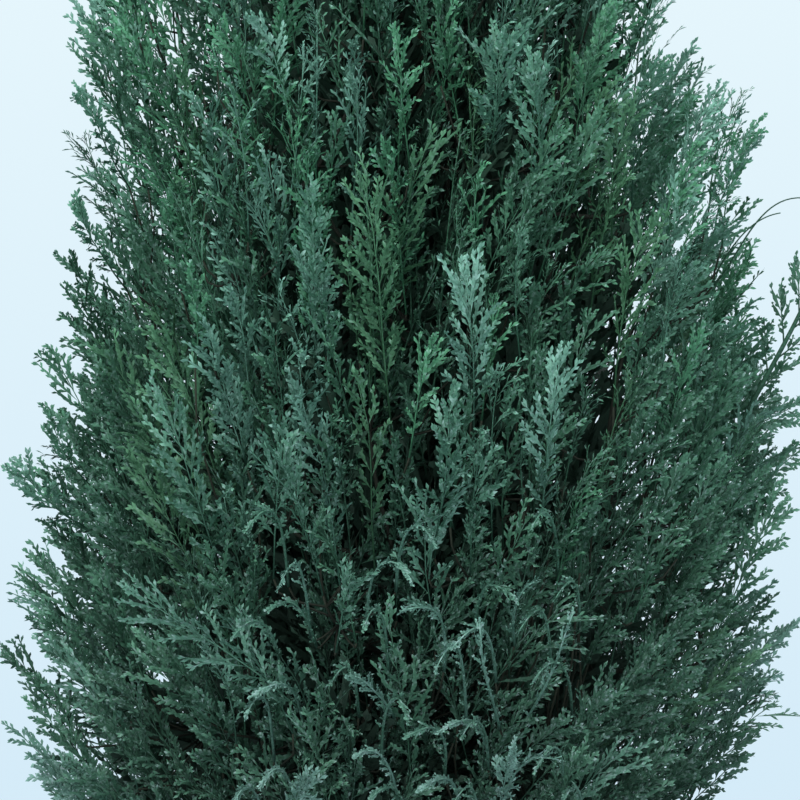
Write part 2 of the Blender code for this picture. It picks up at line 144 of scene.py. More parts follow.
@dataclass(frozen=True)
class Crown:
    """The crown's outline, and the rule by which its shoots lean and are spread out."""

    height: float = 0.93
    radius: float = 0.178
    widest: float = 0.265
    foot: float = 0.032
    taper_power: float = 1.8
    foot_power: float = 2.2
    lobe_share: float = 0.045
    straight_foot: float = 0.012
    trunk_lean: float = 0.010
    trunk_sway: float = 0.0045
    steep_lean: float = math.radians(13)
    flat_lean: float = math.radians(66)
    lean_height: float = 0.235
    lean_power: float = 2.6
    climb_start: float = 0.40
    climb_bend: float = 0.65
    full_climb_height: float = 0.36
    flattest_climb: float = 0.25
    steepest_climb: float = 1.5
    least_radius: float = 0.03
    furthest_share: float = 1.2
    upright_stretch: float = 0.62
    strips: int = 600
    least_strip: float = 2e-6
    lobes: tuple[Quad, Quad] = ((1.0, 5, 11, 0), (0.6, 3, -23, 1))
    sway_waves: Triple = (9, 7, 0.6)
    golden: Pair = (0.7548776662466927, 0.5698402909980532)
    seed: int = 7
    seed_steps: Triple = (12.9898, 78.233, 43758.5453)

    def chance(self, index: Array, salt: Salt) -> Array:
        """Numbers from 0 to 1 that depend on an index and a salt alone: ends of a large sine.

        Args:
            index: Whole numbers.
            salt: What the chance is for.

        Returns:
            The numbers by chance.
        """
        by_index, by_salt, large = self.seed_steps
        wave = np.sin(np.asarray(index, float) * by_index + (salt + self.seed) * by_salt) * large
        return wave - np.floor(wave)

    def either_way(self, index: Array, salt: Salt) -> Array:
        """Numbers from -1 to 1 that depend on an index and a salt alone."""
        return 2 * self.chance(index, salt) - 1

    def plain_radius(self, height: Array) -> Array:
        """The crown's radius: an ogive above the widest place and a parabola below it.

        Args:
            height: Heights.

        Returns:
            The radii.
        """
        above = np.clip((height - self.widest) / (self.height - self.widest), 0, 1)
        below = np.clip((self.widest - height) / (self.widest - self.foot), 0, 1)
        return self.radius * (1 - above**self.taper_power) * (1 - below**self.foot_power)

    def outline(self, height: Array, azimuth: Array) -> Array:
        """The crown's radius with its shallow lobes.

        They are two crossed sine waves, each with a weight, its waves round the crown and
        up it, and a phase.

        Args:
            height: Heights.
            azimuth: Azimuths.

        Returns:
            The radii.
        """
        lobes = sum(
            weight * np.sin(around * azimuth + upwards * height + phase)
            for weight, around, upwards, phase in self.lobes
        )
        return self.plain_radius(height) * (1 + self.lobe_share * lobes / sum(row[0] for row in self.lobes))

    def axis(self, height: Array) -> Array:
        """The middle of the trunk and crown at a height, as (x, y) rows, in a slow sway.

        Args:
            height: Heights.

        Returns:
            The places, (heights, 2).
        """
        across, along, phase = self.sway_waves
        rise = np.maximum(np.asarray(height, float) - self.straight_foot, 0) / self.height
        x = self.trunk_lean * rise**2 + self.trunk_sway * rise * np.sin(across * rise)
        y = self.trunk_sway * rise * np.sin(along * rise + phase)
        return np.stack((x, y), axis=-1)

    def point(self, height: Array, radius: Array = 0.0, azimuth: Array = 0.0) -> Array:
        """Points at heights, radii and azimuths round the crown's axis.

        Args:
            height: Heights.
            radius: Radii.
            azimuth: Azimuths.

        Returns:
            The points, (heights, 3).
        """
        height = np.asarray(height, float)
        turn = np.stack((np.cos(azimuth), np.sin(azimuth)), axis=-1)
        flat = self.axis(height) + np.asarray(radius)[..., None] * turn
        return np.concatenate((flat, height[..., None]), axis=-1)

    def lean(self, height: Array) -> Array:
        """How far the shoots at a height lean outwards from the upright."""
        share = (np.maximum(height, 0) / self.lean_height) ** self.lean_power
        return self.steep_lean + (self.flat_lean - self.steep_lean) / (1 + share)

    def climb(self, radius: Array, height: Array) -> Array:
        """How far shoots have climbed from the trunk to a radius, on their way to a height.

        Args:
            radius: Radii.
            height: The heights that they reach there.

        Returns:
            The climbs.
        """
        full = np.maximum(self.plain_radius(height), self.least_radius)
        share = np.minimum(radius / full, self.furthest_share)
        ramp = np.clip(height / self.full_climb_height, self.flattest_climb, self.steepest_climb)
        return ramp * full * (self.climb_start * share + self.climb_bend * share**2)

    def places(self, points: Array) -> Array:
        """Points in the coordinates in which a mass's space is a cell round its middle.

        Heights are lowered by the climb of the shoots and then compressed.

        Args:
            points: The points, (points, 3).

        Returns:
            Their coordinates.
        """
        offset = points[:, :2] - self.axis(points[:, 2])
        lowered = points[:, 2] - self.climb(np.hypot(offset[:, 0], offset[:, 1]), points[:, 2])
        return np.column_stack((offset, self.upright_stretch * lowered))

    def sites(self, count: int) -> tuple[Array, Array]:
        """Evenly spread places on the crown's surface.

        Two additive sequences, laid out by the area of the surface of revolution.

        Args:
            count: How many places.

        Returns:
            Their heights and their azimuths.
        """
        index = np.arange(count)
        heights = np.linspace(self.foot, self.height, self.strips)
        radii = self.plain_radius(heights)
        strip = np.hypot(np.diff(heights), np.diff(radii)) * (radii[1:] + radii[:-1]) / 2 + self.least_strip
        area = np.concatenate(([0], np.cumsum(strip)))
        share = (0.5 + index * self.golden[0]) % 1
        turn = (0.5 + index * self.golden[1]) % 1
        return np.interp(share, area / area[-1], heights), 2 * math.pi * turn


@dataclass
class Surface:
    """Triangles being gathered for one piece, with a shade from 0 to 1 at each corner."""

    points: Array
    triangles: Array
    shade: Array

    @classmethod
    def joined(cls, parts: list["Surface"]) -> "Surface":
        """One surface out of several.

        Args:
            parts: The surfaces.

        Returns:
            The whole.
        """
        starts = np.cumsum([0] + [len(part.points) for part in parts[:-1]])
        return cls(
            np.concatenate([part.points for part in parts]),
            np.concatenate([part.triangles + start for part, start in zip(parts, starts)]),
            np.concatenate([part.shade for part in parts]),
        )

    @classmethod
    def leaves(cls, corners: Array, split: tuple[tuple[int, int, int], ...], shade: Array) -> "Surface":
        """Leaves of four corners each.

        Args:
            corners: Their corners, with an axis of four before the last.
            split: The corners of the two triangles of a leaf.
            shade: The shade of each corner, held between 0 and 1.

        Returns:
            The leaves.
        """
        faces = np.array(split)[None] + 4 * np.arange(corners.size // 12)[:, None, None]
        return cls(corners.reshape(-1, 3), faces.reshape(-1, 3), np.clip(shade, 0, 1).reshape(-1))

    def parted(self, limit: int) -> list["Surface"]:
        """Surfaces of at most so many triangles that make up this one.

        Args:
            limit: The most triangles that a part may have.

        Returns:
            The parts.
        """
        parts = []
        for triangles in np.array_split(self.triangles, math.ceil(len(self.triangles) / limit)):
            used, corners = np.unique(triangles, return_inverse=True)
            parts.append(Surface(self.points[used], corners.reshape(-1, 3), self.shade[used]))
        return parts

    def piece(self, name: str, finish: bpy.types.Material, stands_for: list[str]) -> bpy.types.Object:
        """Makes the Blender object, which rides with the trunk.

        Args:
            name: The piece's name.
            finish: Its material.
            stands_for: The nodes of the solid model that it replaces.

        Returns:
            The object.
        """
        mesh = bpy.data.meshes.new(name)
        corners = self.triangles.reshape(-1).astype(np.int32)
        mesh.vertices.add(len(self.points))
        mesh.vertices.foreach_set("co", self.points.astype(np.float32).reshape(-1))
        mesh.loops.add(len(corners))
        mesh.loops.foreach_set("vertex_index", corners)
        mesh.polygons.add(len(self.triangles))
        mesh.polygons.foreach_set("loop_start", np.arange(0, len(corners), 3, dtype=np.int32))
        tone = mesh.attributes.new("shade", "FLOAT", "POINT")
        tone.data.foreach_set("value", self.shade.astype(np.float32))
        mesh.update(calc_edges=True)
        mesh.shade_smooth()
        mesh.materials.append(finish)
        made = linked(name, mesh)
        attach(made, BODY)
        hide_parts(*stands_for)
        LOG.info("%s: %d triangles", name, len(self.triangles))
        return made


def tubes(lines: Array, radii: Array, sides: int, shade: Pair = (0, 1)) -> Surface:
    """Closed tapering tubes, all with as many points.

    Each ring is the centre plus radius times (cos a side + sin a normal), and each end is
    closed by a fan round its centre.

    Args:
        lines: Their middles, (tubes, points, 3).
        radii: Their radii, (tubes, points).
        sides: Corners of the round section.
        shade: The shades of their two ends.

    Returns:
        The tubes.
    """
    count, length = radii.shape
    ahead = unit(np.gradient(lines, axis=1))
    whole = unit(lines[:, -1] - lines[:, 0])
    guide = np.where(np.abs(whole[:, 2:]) < 0.9, UP, np.array((1.0, 0.0, 0.0)))[:, None]
    side = unit(np.cross(ahead, guide))
    normal = np.cross(side, ahead)
    angle = np.arange(sides) * 2 * math.pi / sides
    ring = np.cos(angle)[:, None] * side[:, :, None] + np.sin(angle)[:, None] * normal[:, :, None]
    rings = lines[:, :, None] + radii[:, :, None, None] * ring
    points = np.concatenate((rings.reshape(count, -1, 3), lines[:, :1], lines[:, -1:]), axis=1)
    step, turn = np.meshgrid(np.arange(length - 1), np.arange(sides), indexing="ij")
    low, next_low = step * sides + turn, step * sides + (turn + 1) % sides
    wall = np.stack((low, next_low, next_low + sides, low, next_low + sides, low + sides), -1)
    first, last = length * sides, length * sides + 1
    turn = np.arange(sides)
    after, top = (turn + 1) % sides, (length - 1) * sides
    foot = np.stack((after, turn, np.full(sides, first)), -1)
    tip = np.stack((top + turn, top + after, np.full(sides, last)), -1)
    faces = np.concatenate((wall.reshape(-1, 3), foot, tip))[:, ::-1]
    faces = faces[None] + np.arange(count)[:, None, None] * points.shape[1]
    run = np.linspace(*shade, length)
    tone = np.concatenate((np.repeat(run, sides), [shade[0], shade[1]]))
    return Surface(points.reshape(-1, 3), faces.reshape(-1, 3), np.tile(tone, count))


def tapered(lines: Array, first: float, last: float, sides: int, shade: Pair = (0, 1)) -> Surface:
    """Tubes along several lines that all taper evenly from a first radius to a last one."""
    radii = np.linspace(first, last, lines.shape[1])
    return tubes(lines, np.tile(radii, (len(lines), 1)), sides, shade)


@dataclass(frozen=True)
class Tier:
    """A ring of masses: the height of their middles, how many, the first azimuth, and their boughs' foot."""

    name: str
    middle: float
    masses: int
    first_azimuth: float
    root: float


@dataclass
class Limbs:
    """The trunk, the boughs and the stems of the masses, where the solid model has them."""

    crown: Crown
    tiers: tuple[Tier, ...] = (
        Tier("skirt", 0.105, 5, -20, 0.052),
        Tier("lower", 0.184, 6, 0, 0.102),
        Tier("middle", 0.292, 6, 30, 0.180),
        Tier("upper", 0.440, 5, 27, 0.318),
        Tier("high", 0.588, 4, 20, 0.466),
    )
    spire_middle: float = 0.745
    spire_tip: float = 0.922
    middle_share: float = 0.64
    entry_share: float = 0.52
    entry_drop: float = 0.42
    root_stagger: float = 0.008
    middle_stagger: float = 0.0028
    trunk_tip: float = 0.72
    trunk_radius: float = 0.0088
    trunk_tip_radius: float = 0.0022
    root_flare: float = 0.85
    flare_height: float = 0.016
    bough_radius: float = 0.0032
    bough_tip_radius: float = 0.0019
    stem_tip_radius: float = 0.0009
    past_middle: float = 0.022
    bough_out: float = 0.72
    bough_up: float = 0.30
    straight_on: float = 0.45
    names: list[str] = field(default_factory=list)
    boughs: tuple[Array, Array, Array] = field(init=False)
    stems: tuple[Array, Array, Array] = field(init=False)
    middles: Array = field(init=False)

    def __post_init__(self) -> None:
        """Works out the middles, the boughs and the stems of all the masses."""
        rows = []
        for tier in self.tiers:
            for turn in range(tier.masses):
                azimuth = 2 * math.pi * turn / tier.masses + math.radians(tier.first_azimuth)
                middle = tier.middle + self.middle_stagger * (-1) ** turn
                rows.append((azimuth, middle, tier.root + self.root_stagger * (-1) ** turn))
                self.names.append(f"{tier.name}_{turn + 1}")
        azimuth, height, root = np.array(rows).T
        crown = self.crown
        radius = self.middle_share * crown.plain_radius(height)
        out = np.column_stack((np.cos(azimuth), np.sin(azimuth), np.zeros(len(azimuth))))
        middle = crown.point(height, radius, azimuth)
        entry_height = height - self.entry_drop * (height - root)
        entry = crown.point(entry_height, self.entry_share * radius, azimuth)
        start = crown.point(root)
        reach = dot(entry - start, out)
        control = start + self.bough_out * reach * out + self.bough_up * (entry - start)[:, 2:] * UP
        self.boughs = (start, control, entry)
        heading = unit(entry - control)
        lean = crown.lean(height)[:, None]
        end = middle + self.past_middle * (np.sin(lean) * out + np.cos(lean) * UP)
        turned = entry + self.straight_on * np.linalg.norm(end - entry, axis=1, keepdims=True) * heading
        top = crown.point(np.array((self.trunk_tip,)))
        spire = crown.point(np.array((self.spire_tip,)))
        self.middles = np.vstack((middle, crown.point(np.array((self.spire_middle,)))))
        self.stems = (
            np.vstack((entry, top)),
            np.vstack((turned, top + self.straight_on * (spire - top))),
            np.vstack((end, spire)),
        )
        self.names.append("spire")

    def trunk_radius_at(self, height: Array) -> Array:
        """The trunk's radius at a height: a straight taper and a flare that dies out.

        Args:
            height: Heights.

        Returns:
            The radii.
        """
        share = np.clip(height / self.trunk_tip, 0, 1)
        plain = self.trunk_radius + (self.trunk_tip_radius - self.trunk_radius) * share
        return plain * (1 + self.root_flare * np.exp(-height / self.flare_height))

    def owner(self, points: Array) -> Array:
        """Which mass each point belongs to: the nearest middle in the leaning coordinates.

        Args:
            points: The points, (points, 3).

        Returns:
            The masses' numbers.
        """
        places = self.crown.places(points)
        middles = self.crown.places(self.middles)
        return ((places[:, None] - middles[None]) ** 2).sum(axis=2).argmin(axis=1)


@dataclass
class Bark:
    """The trunk and the boughs, with the bark's stringy ridges worked into their surface."""

    limbs: Limbs
    trunk_sides: int = 48
    trunk_rings: int = 200
    bough_sides: int = 12
    bough_rings: int = 26
    ridge: float = 0.00055
    bough_ridge: float = 0.00020
    bough_shift: float = 0.1
    middle_tone: float = 0.5
    relief_tone: float = 0.4

    def relief(self, angle: Array, height: Array) -> Array:
        """The bark's height from -1 to 1.

        Upright strips that wander and part: sine waves round the limb, whose phase drifts
        with the height, are sharpened, and a slower wave along the limb breaks them up.

        Args:
            angle: Angles round the limb.
            height: Heights.

        Returns:
            The relief.
        """
        drift = 1.6 * np.sin(31 * height + 2 * angle) + 0.9 * np.sin(83 * height - 3 * angle)
        strips = np.abs(np.sin(5.5 * angle + drift)) ** 0.6
        fibres = np.sin(23 * angle + 3.1 * drift + 140 * height)
        plates = np.sin(190 * height + 4 * np.sin(3 * angle) + drift)
        return 1.25 * strips - 0.75 + 0.28 * fibres + 0.22 * plates * strips

    def trunk(self) -> Surface:
        """The trunk: a ring at each height, pushed out by the relief, with closed ends.

        Returns:
            The trunk.
        """
        height = np.linspace(0, self.limbs.trunk_tip, self.trunk_rings)
        line = self.limbs.crown.point(height)[None]
        radius = self.limbs.trunk_radius_at(height)
        made = tubes(line, radius[None], self.trunk_sides)
        return self.roughened(made, line, self.trunk_rings, self.trunk_sides, self.ridge)

    def boughs(self) -> Surface:
        """The boughs: tapering tubes along their curves, with a finer relief.

        Returns:
            All the boughs.
        """
        limbs = self.limbs
        line = bend(*limbs.boughs, np.linspace(0, 1, self.bough_rings))
        made = tapered(line, limbs.bough_radius, limbs.bough_tip_radius, self.bough_sides)
        return self.roughened(made, line, self.bough_rings, self.bough_sides, self.bough_ridge)

    def roughened(self, made: Surface, lines: Array, rings: int, sides: int, depth: float) -> Surface:
        """Pushes each ring's corners in or out from its centre by the relief.

        Args:
            made: The smooth tubes.
            lines: Their middles.
            rings: Rings of a tube.
            sides: Corners of a ring.
            depth: Half of the relief's full height.

        Returns:
            The same tubes with relief, which is in the shade too.
        """
        count = len(lines)
        points = made.points.reshape(count, -1, 3)
        walls = points[:, : rings * sides].reshape(count, rings, sides, 3)
        outwards = unit(walls - lines[:, :, None])
        angle = (np.arange(sides) * 2 * math.pi / sides)[None, None] + np.arange(count)[:, None, None]
        relief = self.relief(angle, lines[:, :, None, 2] + self.bough_shift * np.arange(count)[:, None, None])
        taper = np.clip(np.minimum(np.arange(rings), np.arange(rings)[::-1]) / 2, 0, 1)[None, :, None]
        walls += (depth * relief * taper)[..., None] * outwards
        shade = made.shade.reshape(count, -1)
        tone = np.clip(self.middle_tone + self.relief_tone * relief, 0, 1)
        shade[:, : rings * sides] = tone.reshape(count, -1)
        shade[:, rings * sides :] = self.middle_tone
        return made

    def dress(self, finish: bpy.types.Material) -> None:
        """Makes the two pieces in place of the plain trunk and boughs.

        Args:
            finish: The bark's material.
        """
        names = [f"bough_{name}" for name in self.limbs.names[:-1]]
        self.trunk().piece("bark_trunk", finish, ["trunk"])
        self.boughs().piece("bark_boughs", finish, names)


@dataclass
class Shoots:
    """A batch of fronds before they have leaves: their axes, flats, widths and depths."""

    index: Array
    base: Array
    control: Array
    tip: Array
    side: Array
    half_width: Array
    depth: Array
    sway: Array

    def chosen(self, pick: Array) -> "Shoots":
        """The shoots that a mask or an index list picks."""
        return Shoots(*(getattr(self, name)[pick] for name in self.__dataclass_fields__))

    @classmethod
    def joined(cls, batches: list["Shoots"]) -> "Shoots":
        """One batch out of several."""
        names = cls.__dataclass_fields__
        return cls(*(np.concatenate([getattr(batch, name) for batch in batches]) for name in names))

    def line(self, shares: Array) -> Array:
        """Points of the axes.

        Each is the quadratic curve at share t, moved along the frond's side by its sway
        times t (sin(6.5 t + phase) - sin(phase)), with a phase of the frond's own.

        Args:
            shares: Shares of the way, (points,) or (fronds, points).

        Returns:
            The points, (fronds, points, 3).
        """
        t = np.broadcast_to(shares, (len(self.index), np.shape(shares)[-1]))
        phase = TURN * self.index[:, None]
        wave = self.sway[:, None] * t * (np.sin(6.5 * t + phase) - np.sin(phase))
        return bend(self.base, self.control, self.tip, t) + wave[..., None] * self.side[:, None]


@dataclass(frozen=True)
class Plume:
    """One frond that shows on its own in front, in metres across and up as the camera sees it."""

    foot: Pair
    bend: Pair
    tip: Pair
    half_width: float
    green: "Green"
    turn: float = 0.0


@dataclass
class Planter:
    """Spreads the fronds over the crown by the solid model's rule."""

    crown: Crown
    spray_length: float = 0.088
    half_width: float = 0.0115
    room: float = 0.62
    nod: float = math.radians(9)
    swing: float = math.radians(13)
    twist: float = math.radians(52)
    wider_twist: float = math.radians(88)
    wilder: float = 1.35
    flank_twist: float = 0.5
    modelled: int = 422
    small_size: float = 0.50
    small_spread: float = 0.46
    lean_spread: float = math.radians(7)
    tip_spread: float = 0.07
    sway: float = 0.022
    top: float = 0.84
    top_size: float = 0.42
    leader_size: float = 0.55
    leader_depth: float = 0.25
    below_top: float = 0.002
    left_flank: tuple[Pair, ...] = (
        (0.13, 0.00), (0.20, -0.04), (0.24, 0.03), (0.27, -0.03), (0.30, 0.09), (0.33, 0.03), (0.36, 0.15),
        (0.39, 0.09), (0.44, 0.18), (0.47, 0.06), (0.52, 0.02), (0.56, -0.13), (0.66, 0.00),
    )
    right_flank: tuple[Pair, ...] = (
        (0.13, 0.00), (0.20, 0.07), (0.23, -0.02), (0.27, -0.05), (0.29, 0.08), (0.31, -0.02), (0.34, -0.08),
        (0.40, -0.04), (0.43, -0.13), (0.455, -0.03), (0.48, -0.19), (0.495, -0.19), (0.52, 0.00),
        (0.54, -0.08), (0.58, 0.00),
    )
    flank_power: float = 1.5
    calm: tuple[Quad, ...] = (
        (-0.055, 0.395, 0.045, 0.055), (0.135, 0.420, 0.045, 0.100), (-0.090, 0.475, 0.050, 0.060)
    )
    calm_share: float = 0.8
    calm_wild: float = 0.7
    least_size: float = 0.78
    size_spread: float = 0.44
    small_depth: float = 0.06
    dents: tuple[Pair, ...] = (
        (0.004, 0.358), (-0.004, 0.207), (0.053, 0.235), (0.012, 0.218), (0.030, 0.470),
        (0.034, 0.206), (0.001, 0.281), (-0.042, 0.268), (0.088, 0.252), (0.016, 0.262),
    )
    dent_size: Pair = (0.0085, 0.013)
    dent_depth: float = 0.46
    slits: tuple[Pair, ...] = (
        (-0.121, 0.530), (-0.112, 0.494), (-0.103, 0.525), (-0.113, 0.477), (-0.123, 0.450), (-0.109, 0.413),
        (-0.099, 0.387), (-0.089, 0.536), (0.155, 0.431), (0.140, 0.498), (0.130, 0.518),
    )
    slit_size: Pair = (0.0055, 0.015)
    slit_depth: float = 0.70
    gap_read_at: Triple = (0.15, 0.4, 0.65)
    broad_hollow: float = 0.48
    fine_hollow: float = 0.36
    hollow_power: float = 1.5
    deepest_hollow: float = 1.15
    nod_range: Pair = (0.4, 1.2)
    small_nod: float = 2.2
    width_power: float = 0.8
    width_range: Pair = (0.80, 0.40)
    front_depths: Pair = (0.26, -0.03)
    front_sway: float = 0.6
    least_front: float = 0.02

    def outer(self, count: int, relief: float) -> Shoots:
        """Fronds with their tips on the crown's outline.

        Args:
            count: How many.
            relief: How far, as a share of the radius, the hollows between clumps go in.

        Returns:
            The shoots.
        """
        index = np.arange(count)
        height, azimuth = self.crown.sites(count)
        chance = self.crown.chance
        size = self.least_size + self.size_spread * chance(index, Salt.SIZE)
        later = index >= self.modelled
        size = size * np.where(later, self.small_size + self.small_spread * chance(index, Salt.SMALL_SIZE), 1)
        size = self.fitting(size, height)
        depth = self.tip_spread * chance(index, Salt.DEPTH) + self.flank(height, azimuth)
        depth = depth + relief * self.hollow(height, azimuth)
        depth = depth + self.small_depth * later * chance(index, Salt.SMALL_DEPTH)
        depth = depth + self.opened(height, azimuth, size)
        return self.shoots(index, height, azimuth, size, depth)

    def leader(self, count: int, first: int) -> Shoots:
        """Small fronds close together round the leader, up to its tip.

        Args:
            count: How many.
            first: The number of the first one.

        Returns:
            The shoots.
        """
        index = first + np.arange(count)
        climb = self.crown.height - self.below_top - self.top
        height = self.top + climb * (np.arange(count) + 1) / count
        size = self.fitting(np.full(count, self.leader_size), height)
        depth = self.leader_depth * self.crown.chance(index, Salt.DEPTH)
        return self.shoots(index, height, TURN * index, size, depth)

    def fitting(self, size: Array, height: Array) -> Array:
        """Sizes held to the room between the outline and the trunk, and above a least size at the top.

        Args:
            size: Sizes as they would be.
            height: Heights of the tips.

        Returns:
            The sizes.
        """
        room = self.room * self.crown.plain_radius(height) / np.sin(self.crown.lean(height))
        share = np.minimum(1, room / self.spray_length)
        return size * np.maximum(share, self.top_size * (height > self.top))

    def flank(self, height: Array, azimuth: Array) -> Array:
        """How much narrower the crown is on its left and right than its plain outline.

        Each flank has a line of shares of the radius by height, and fades to nothing
        towards the front and the back with the cosine of the azimuth.

        Args:
            height: Heights.
            azimuth: Azimuths.

        Returns:
            Shares of the radius.
        """
        facing = np.cos(azimuth)
        right, left = (np.interp(height, *np.array(flank).T) for flank in (self.right_flank, self.left_flank))
        right = right * np.maximum(facing, 0) ** self.flank_power
        return right + left * np.maximum(-facing, 0) ** self.flank_power

    def hollow(self, height: Array, azimuth: Array) -> Array:
        """How deep the crown's surface lies between its clumps, from 0 to 1.

        Two products of crossed waves, a broad one of 9 round the crown and a fine one of 29,
        taller than wide, whose phases wander by sines of the other coordinate. They are
        weaker where the front of the crown is smooth.

        Args:
            height: Heights.
            azimuth: Azimuths.

        Returns:
            The depths.
        """
        around = azimuth * 9 + 1.3 * np.sin(height * 17) + 0.8 * np.sin(2 * azimuth)
        upwards = height * 46 + 1.5 * np.sin(4 * azimuth + 1) + 0.9 * np.sin(azimuth * 9 + 2)
        broad = np.cos(around) * np.cos(upwards) + 0.35 * np.sin(around * 2.3 + upwards)
        fine_around = azimuth * 29 + 2 * np.sin(height * 31)
        fine = np.cos(fine_around) * np.cos(height * 93 + 1.7 * np.sin(7 * azimuth))
        depth = np.clip(0.5 - self.broad_hollow * broad - self.fine_hollow * fine, 0, self.deepest_hollow)
        return (1 - self.calmness(height, azimuth)) * depth**self.hollow_power

    def calmness(self, height: Array, azimuth: Array) -> Array:
        """How evenly, from 0 to 1, the fronds stand side by side: more in a few places in front."""
        across = self.crown.plain_radius(height) * np.cos(azimuth)
        return self.calm_share * self.near(across, height, list(self.calm)) * (np.sin(azimuth) < 0)

    @staticmethod
    def near(across: Array, rise: Array, places: list[Quad]) -> Array:
        """How near, from 0 to 1, points are to places of the crown as seen from the front.

        Args:
            across: How far the points lie across.
            rise: How far they lie up.
            places: How far across and up each place is, and the widths of its bell curve
                across and up.

        Returns:
            The highest of the bell curves' values.
        """
        offset = [((across - x) / wide) ** 2 + ((rise - z) / tall) ** 2 for x, z, wide, tall in places]
        return np.exp(-np.min(offset, axis=0))

    def opened(self, height: Array, azimuth: Array, size: Array) -> Array:
        """How much deeper, as a share of the radius, fronds lie that would close a gap.

        The dents are small dark gaps in the front, and the slits let the sky through both
        sides. The nearness to them is read at three places along the frond.

        Args:
            height: Heights of the tips.
            azimuth: Their azimuths.
            size: The fronds' sizes.

        Returns:
            Shares of the radius.
        """
        lean = self.crown.lean(height)
        radius = self.crown.plain_radius(height) * (1 - self.flank(height, azimuth))
        length = self.spray_length * size
        gaps = (
            (self.dents, self.dent_size, self.dent_depth * (np.sin(azimuth) < 0)),
            (self.slits, self.slit_size, self.slit_depth),
        )
        opened = []
        for share in self.gap_read_at:
            across = (radius - share * length * np.sin(lean)) * np.cos(azimuth)
            rise = height - share * length * np.cos(lean)
            for places, widths, deeper in gaps:
                opened.append(deeper * self.near(across, rise, [(*place, *widths) for place in places]))
        return np.max(opened, axis=0)

    def shoots(self, index: Array, height: Array, azimuth: Array, size: Array, depth: Array) -> Shoots:
        """Axes of fronds whose tips are at given places.

        The axis is a quadratic curve. It ends at the tip, leans outwards by the crown's
        lean, and nods by a few degrees on its way. The flat of the frond stands in an
        upright plane through the trunk, and is twisted out of it.

        Args:
            index: The fronds' numbers, for their chances.
            height: Heights of the tips.
            azimuth: Azimuths of the tips.
            size: Sizes, 1 for a full frond.
            depth: How far the tips lie inside the outline, as shares of the radius.

        Returns:
            The shoots.
        """
        crown = self.crown
        out = np.stack((np.cos(azimuth), np.sin(azimuth), np.zeros(len(azimuth))), axis=-1)
        around = np.stack((-out[:, 1], out[:, 0], out[:, 2]), axis=-1)
        later = index >= self.modelled
        wild = np.where(later, self.wilder, 1) * (1 - self.calm_wild * self.calmness(height, azimuth))
        lean = crown.lean(height) + wild * self.lean_spread * crown.either_way(index, Salt.LEAN)
        least, spread = self.nod_range
        more = self.small_nod * later * crown.chance(index, Salt.ROLL) ** 3
        nod = self.nod * (least + spread * crown.chance(index, Salt.NOD) + more)
        swing = (wild * self.swing * crown.either_way(index, Salt.SWING))[:, None] * around
        tip = crown.point(height, crown.outline(height, azimuth) * (1 - depth), azimuth)
        early, late = (lean - nod)[:, None], (lean + nod)[:, None]
        length = self.spray_length * size
        first = unit(np.sin(early) * out + np.cos(early) * UP + swing)
        last = unit(np.sin(late) * out + np.cos(late) * UP + swing)
        control = tip - 0.5 * length[:, None] * last
        base = control - 0.5 * length[:, None] * first
        ahead = unit(tip - base)
        in_plane = unit(out - dot(out, ahead) * ahead)
        wider = self.wider_twist * (1 - self.flank_twist * np.cos(azimuth) ** 2)
        twist = (np.where(later, wider, self.twist) * crown.either_way(index, Salt.TWIST))[:, None]
        side = np.cos(twist) * in_plane + np.sin(twist) * np.cross(ahead, in_plane)
        least, spread = self.width_range
        width = self.half_width * size**self.width_power * (least + spread * crown.chance(index, Salt.WIDTH))
        return Shoots(index, base, control, tip, side, width, depth, self.sway * length)

    def in_front(self, plumes: tuple[Plume, ...], first: int, inwards: float) -> Shoots:
        """Fronds at given places of the crown's front.

        A point across x and up z lies on the front of the outline: at the axis's y less the
        root of radius^2 - x^2. The foot lies deeper than the tip.

        Args:
            plumes: The fronds as they are seen.
            first: The number of the first one.
            inwards: How deep their bends lie, as a share of the radius.

        Returns:
            The shoots.
        """
        index = first + np.arange(len(plumes))
        foot_depth, tip_depth = self.front_depths
        corners = []
        for name, deep in (("foot", foot_depth), ("bend", inwards), ("tip", tip_depth)):
            x, z = np.array([getattr(plume, name) for plume in plumes]).T
            middle = self.crown.axis(z)
            radius = self.crown.plain_radius(z) * (1 - deep)
            y = middle[:, 1] - np.sqrt(np.maximum(radius**2 - (x - middle[:, 0]) ** 2, self.least_front**2))
            corners.append(np.column_stack((x, y, z)))
        base, control, tip = corners
        ahead = unit(tip - base)
        flat = unit(np.cross(ahead, np.array((0.0, -1.0, 0.0))))
        turn = np.array([plume.turn for plume in plumes])[:, None]
        side = np.cos(turn) * flat + np.sin(turn) * np.cross(ahead, flat)
        length = np.linalg.norm(control - base, axis=1) + np.linalg.norm(tip - control, axis=1)
        width = np.array([plume.half_width for plume in plumes])
        sway = self.front_sway * self.sway * length
        return Shoots(index, base, control, tip, side, width, np.zeros(len(plumes)), sway)


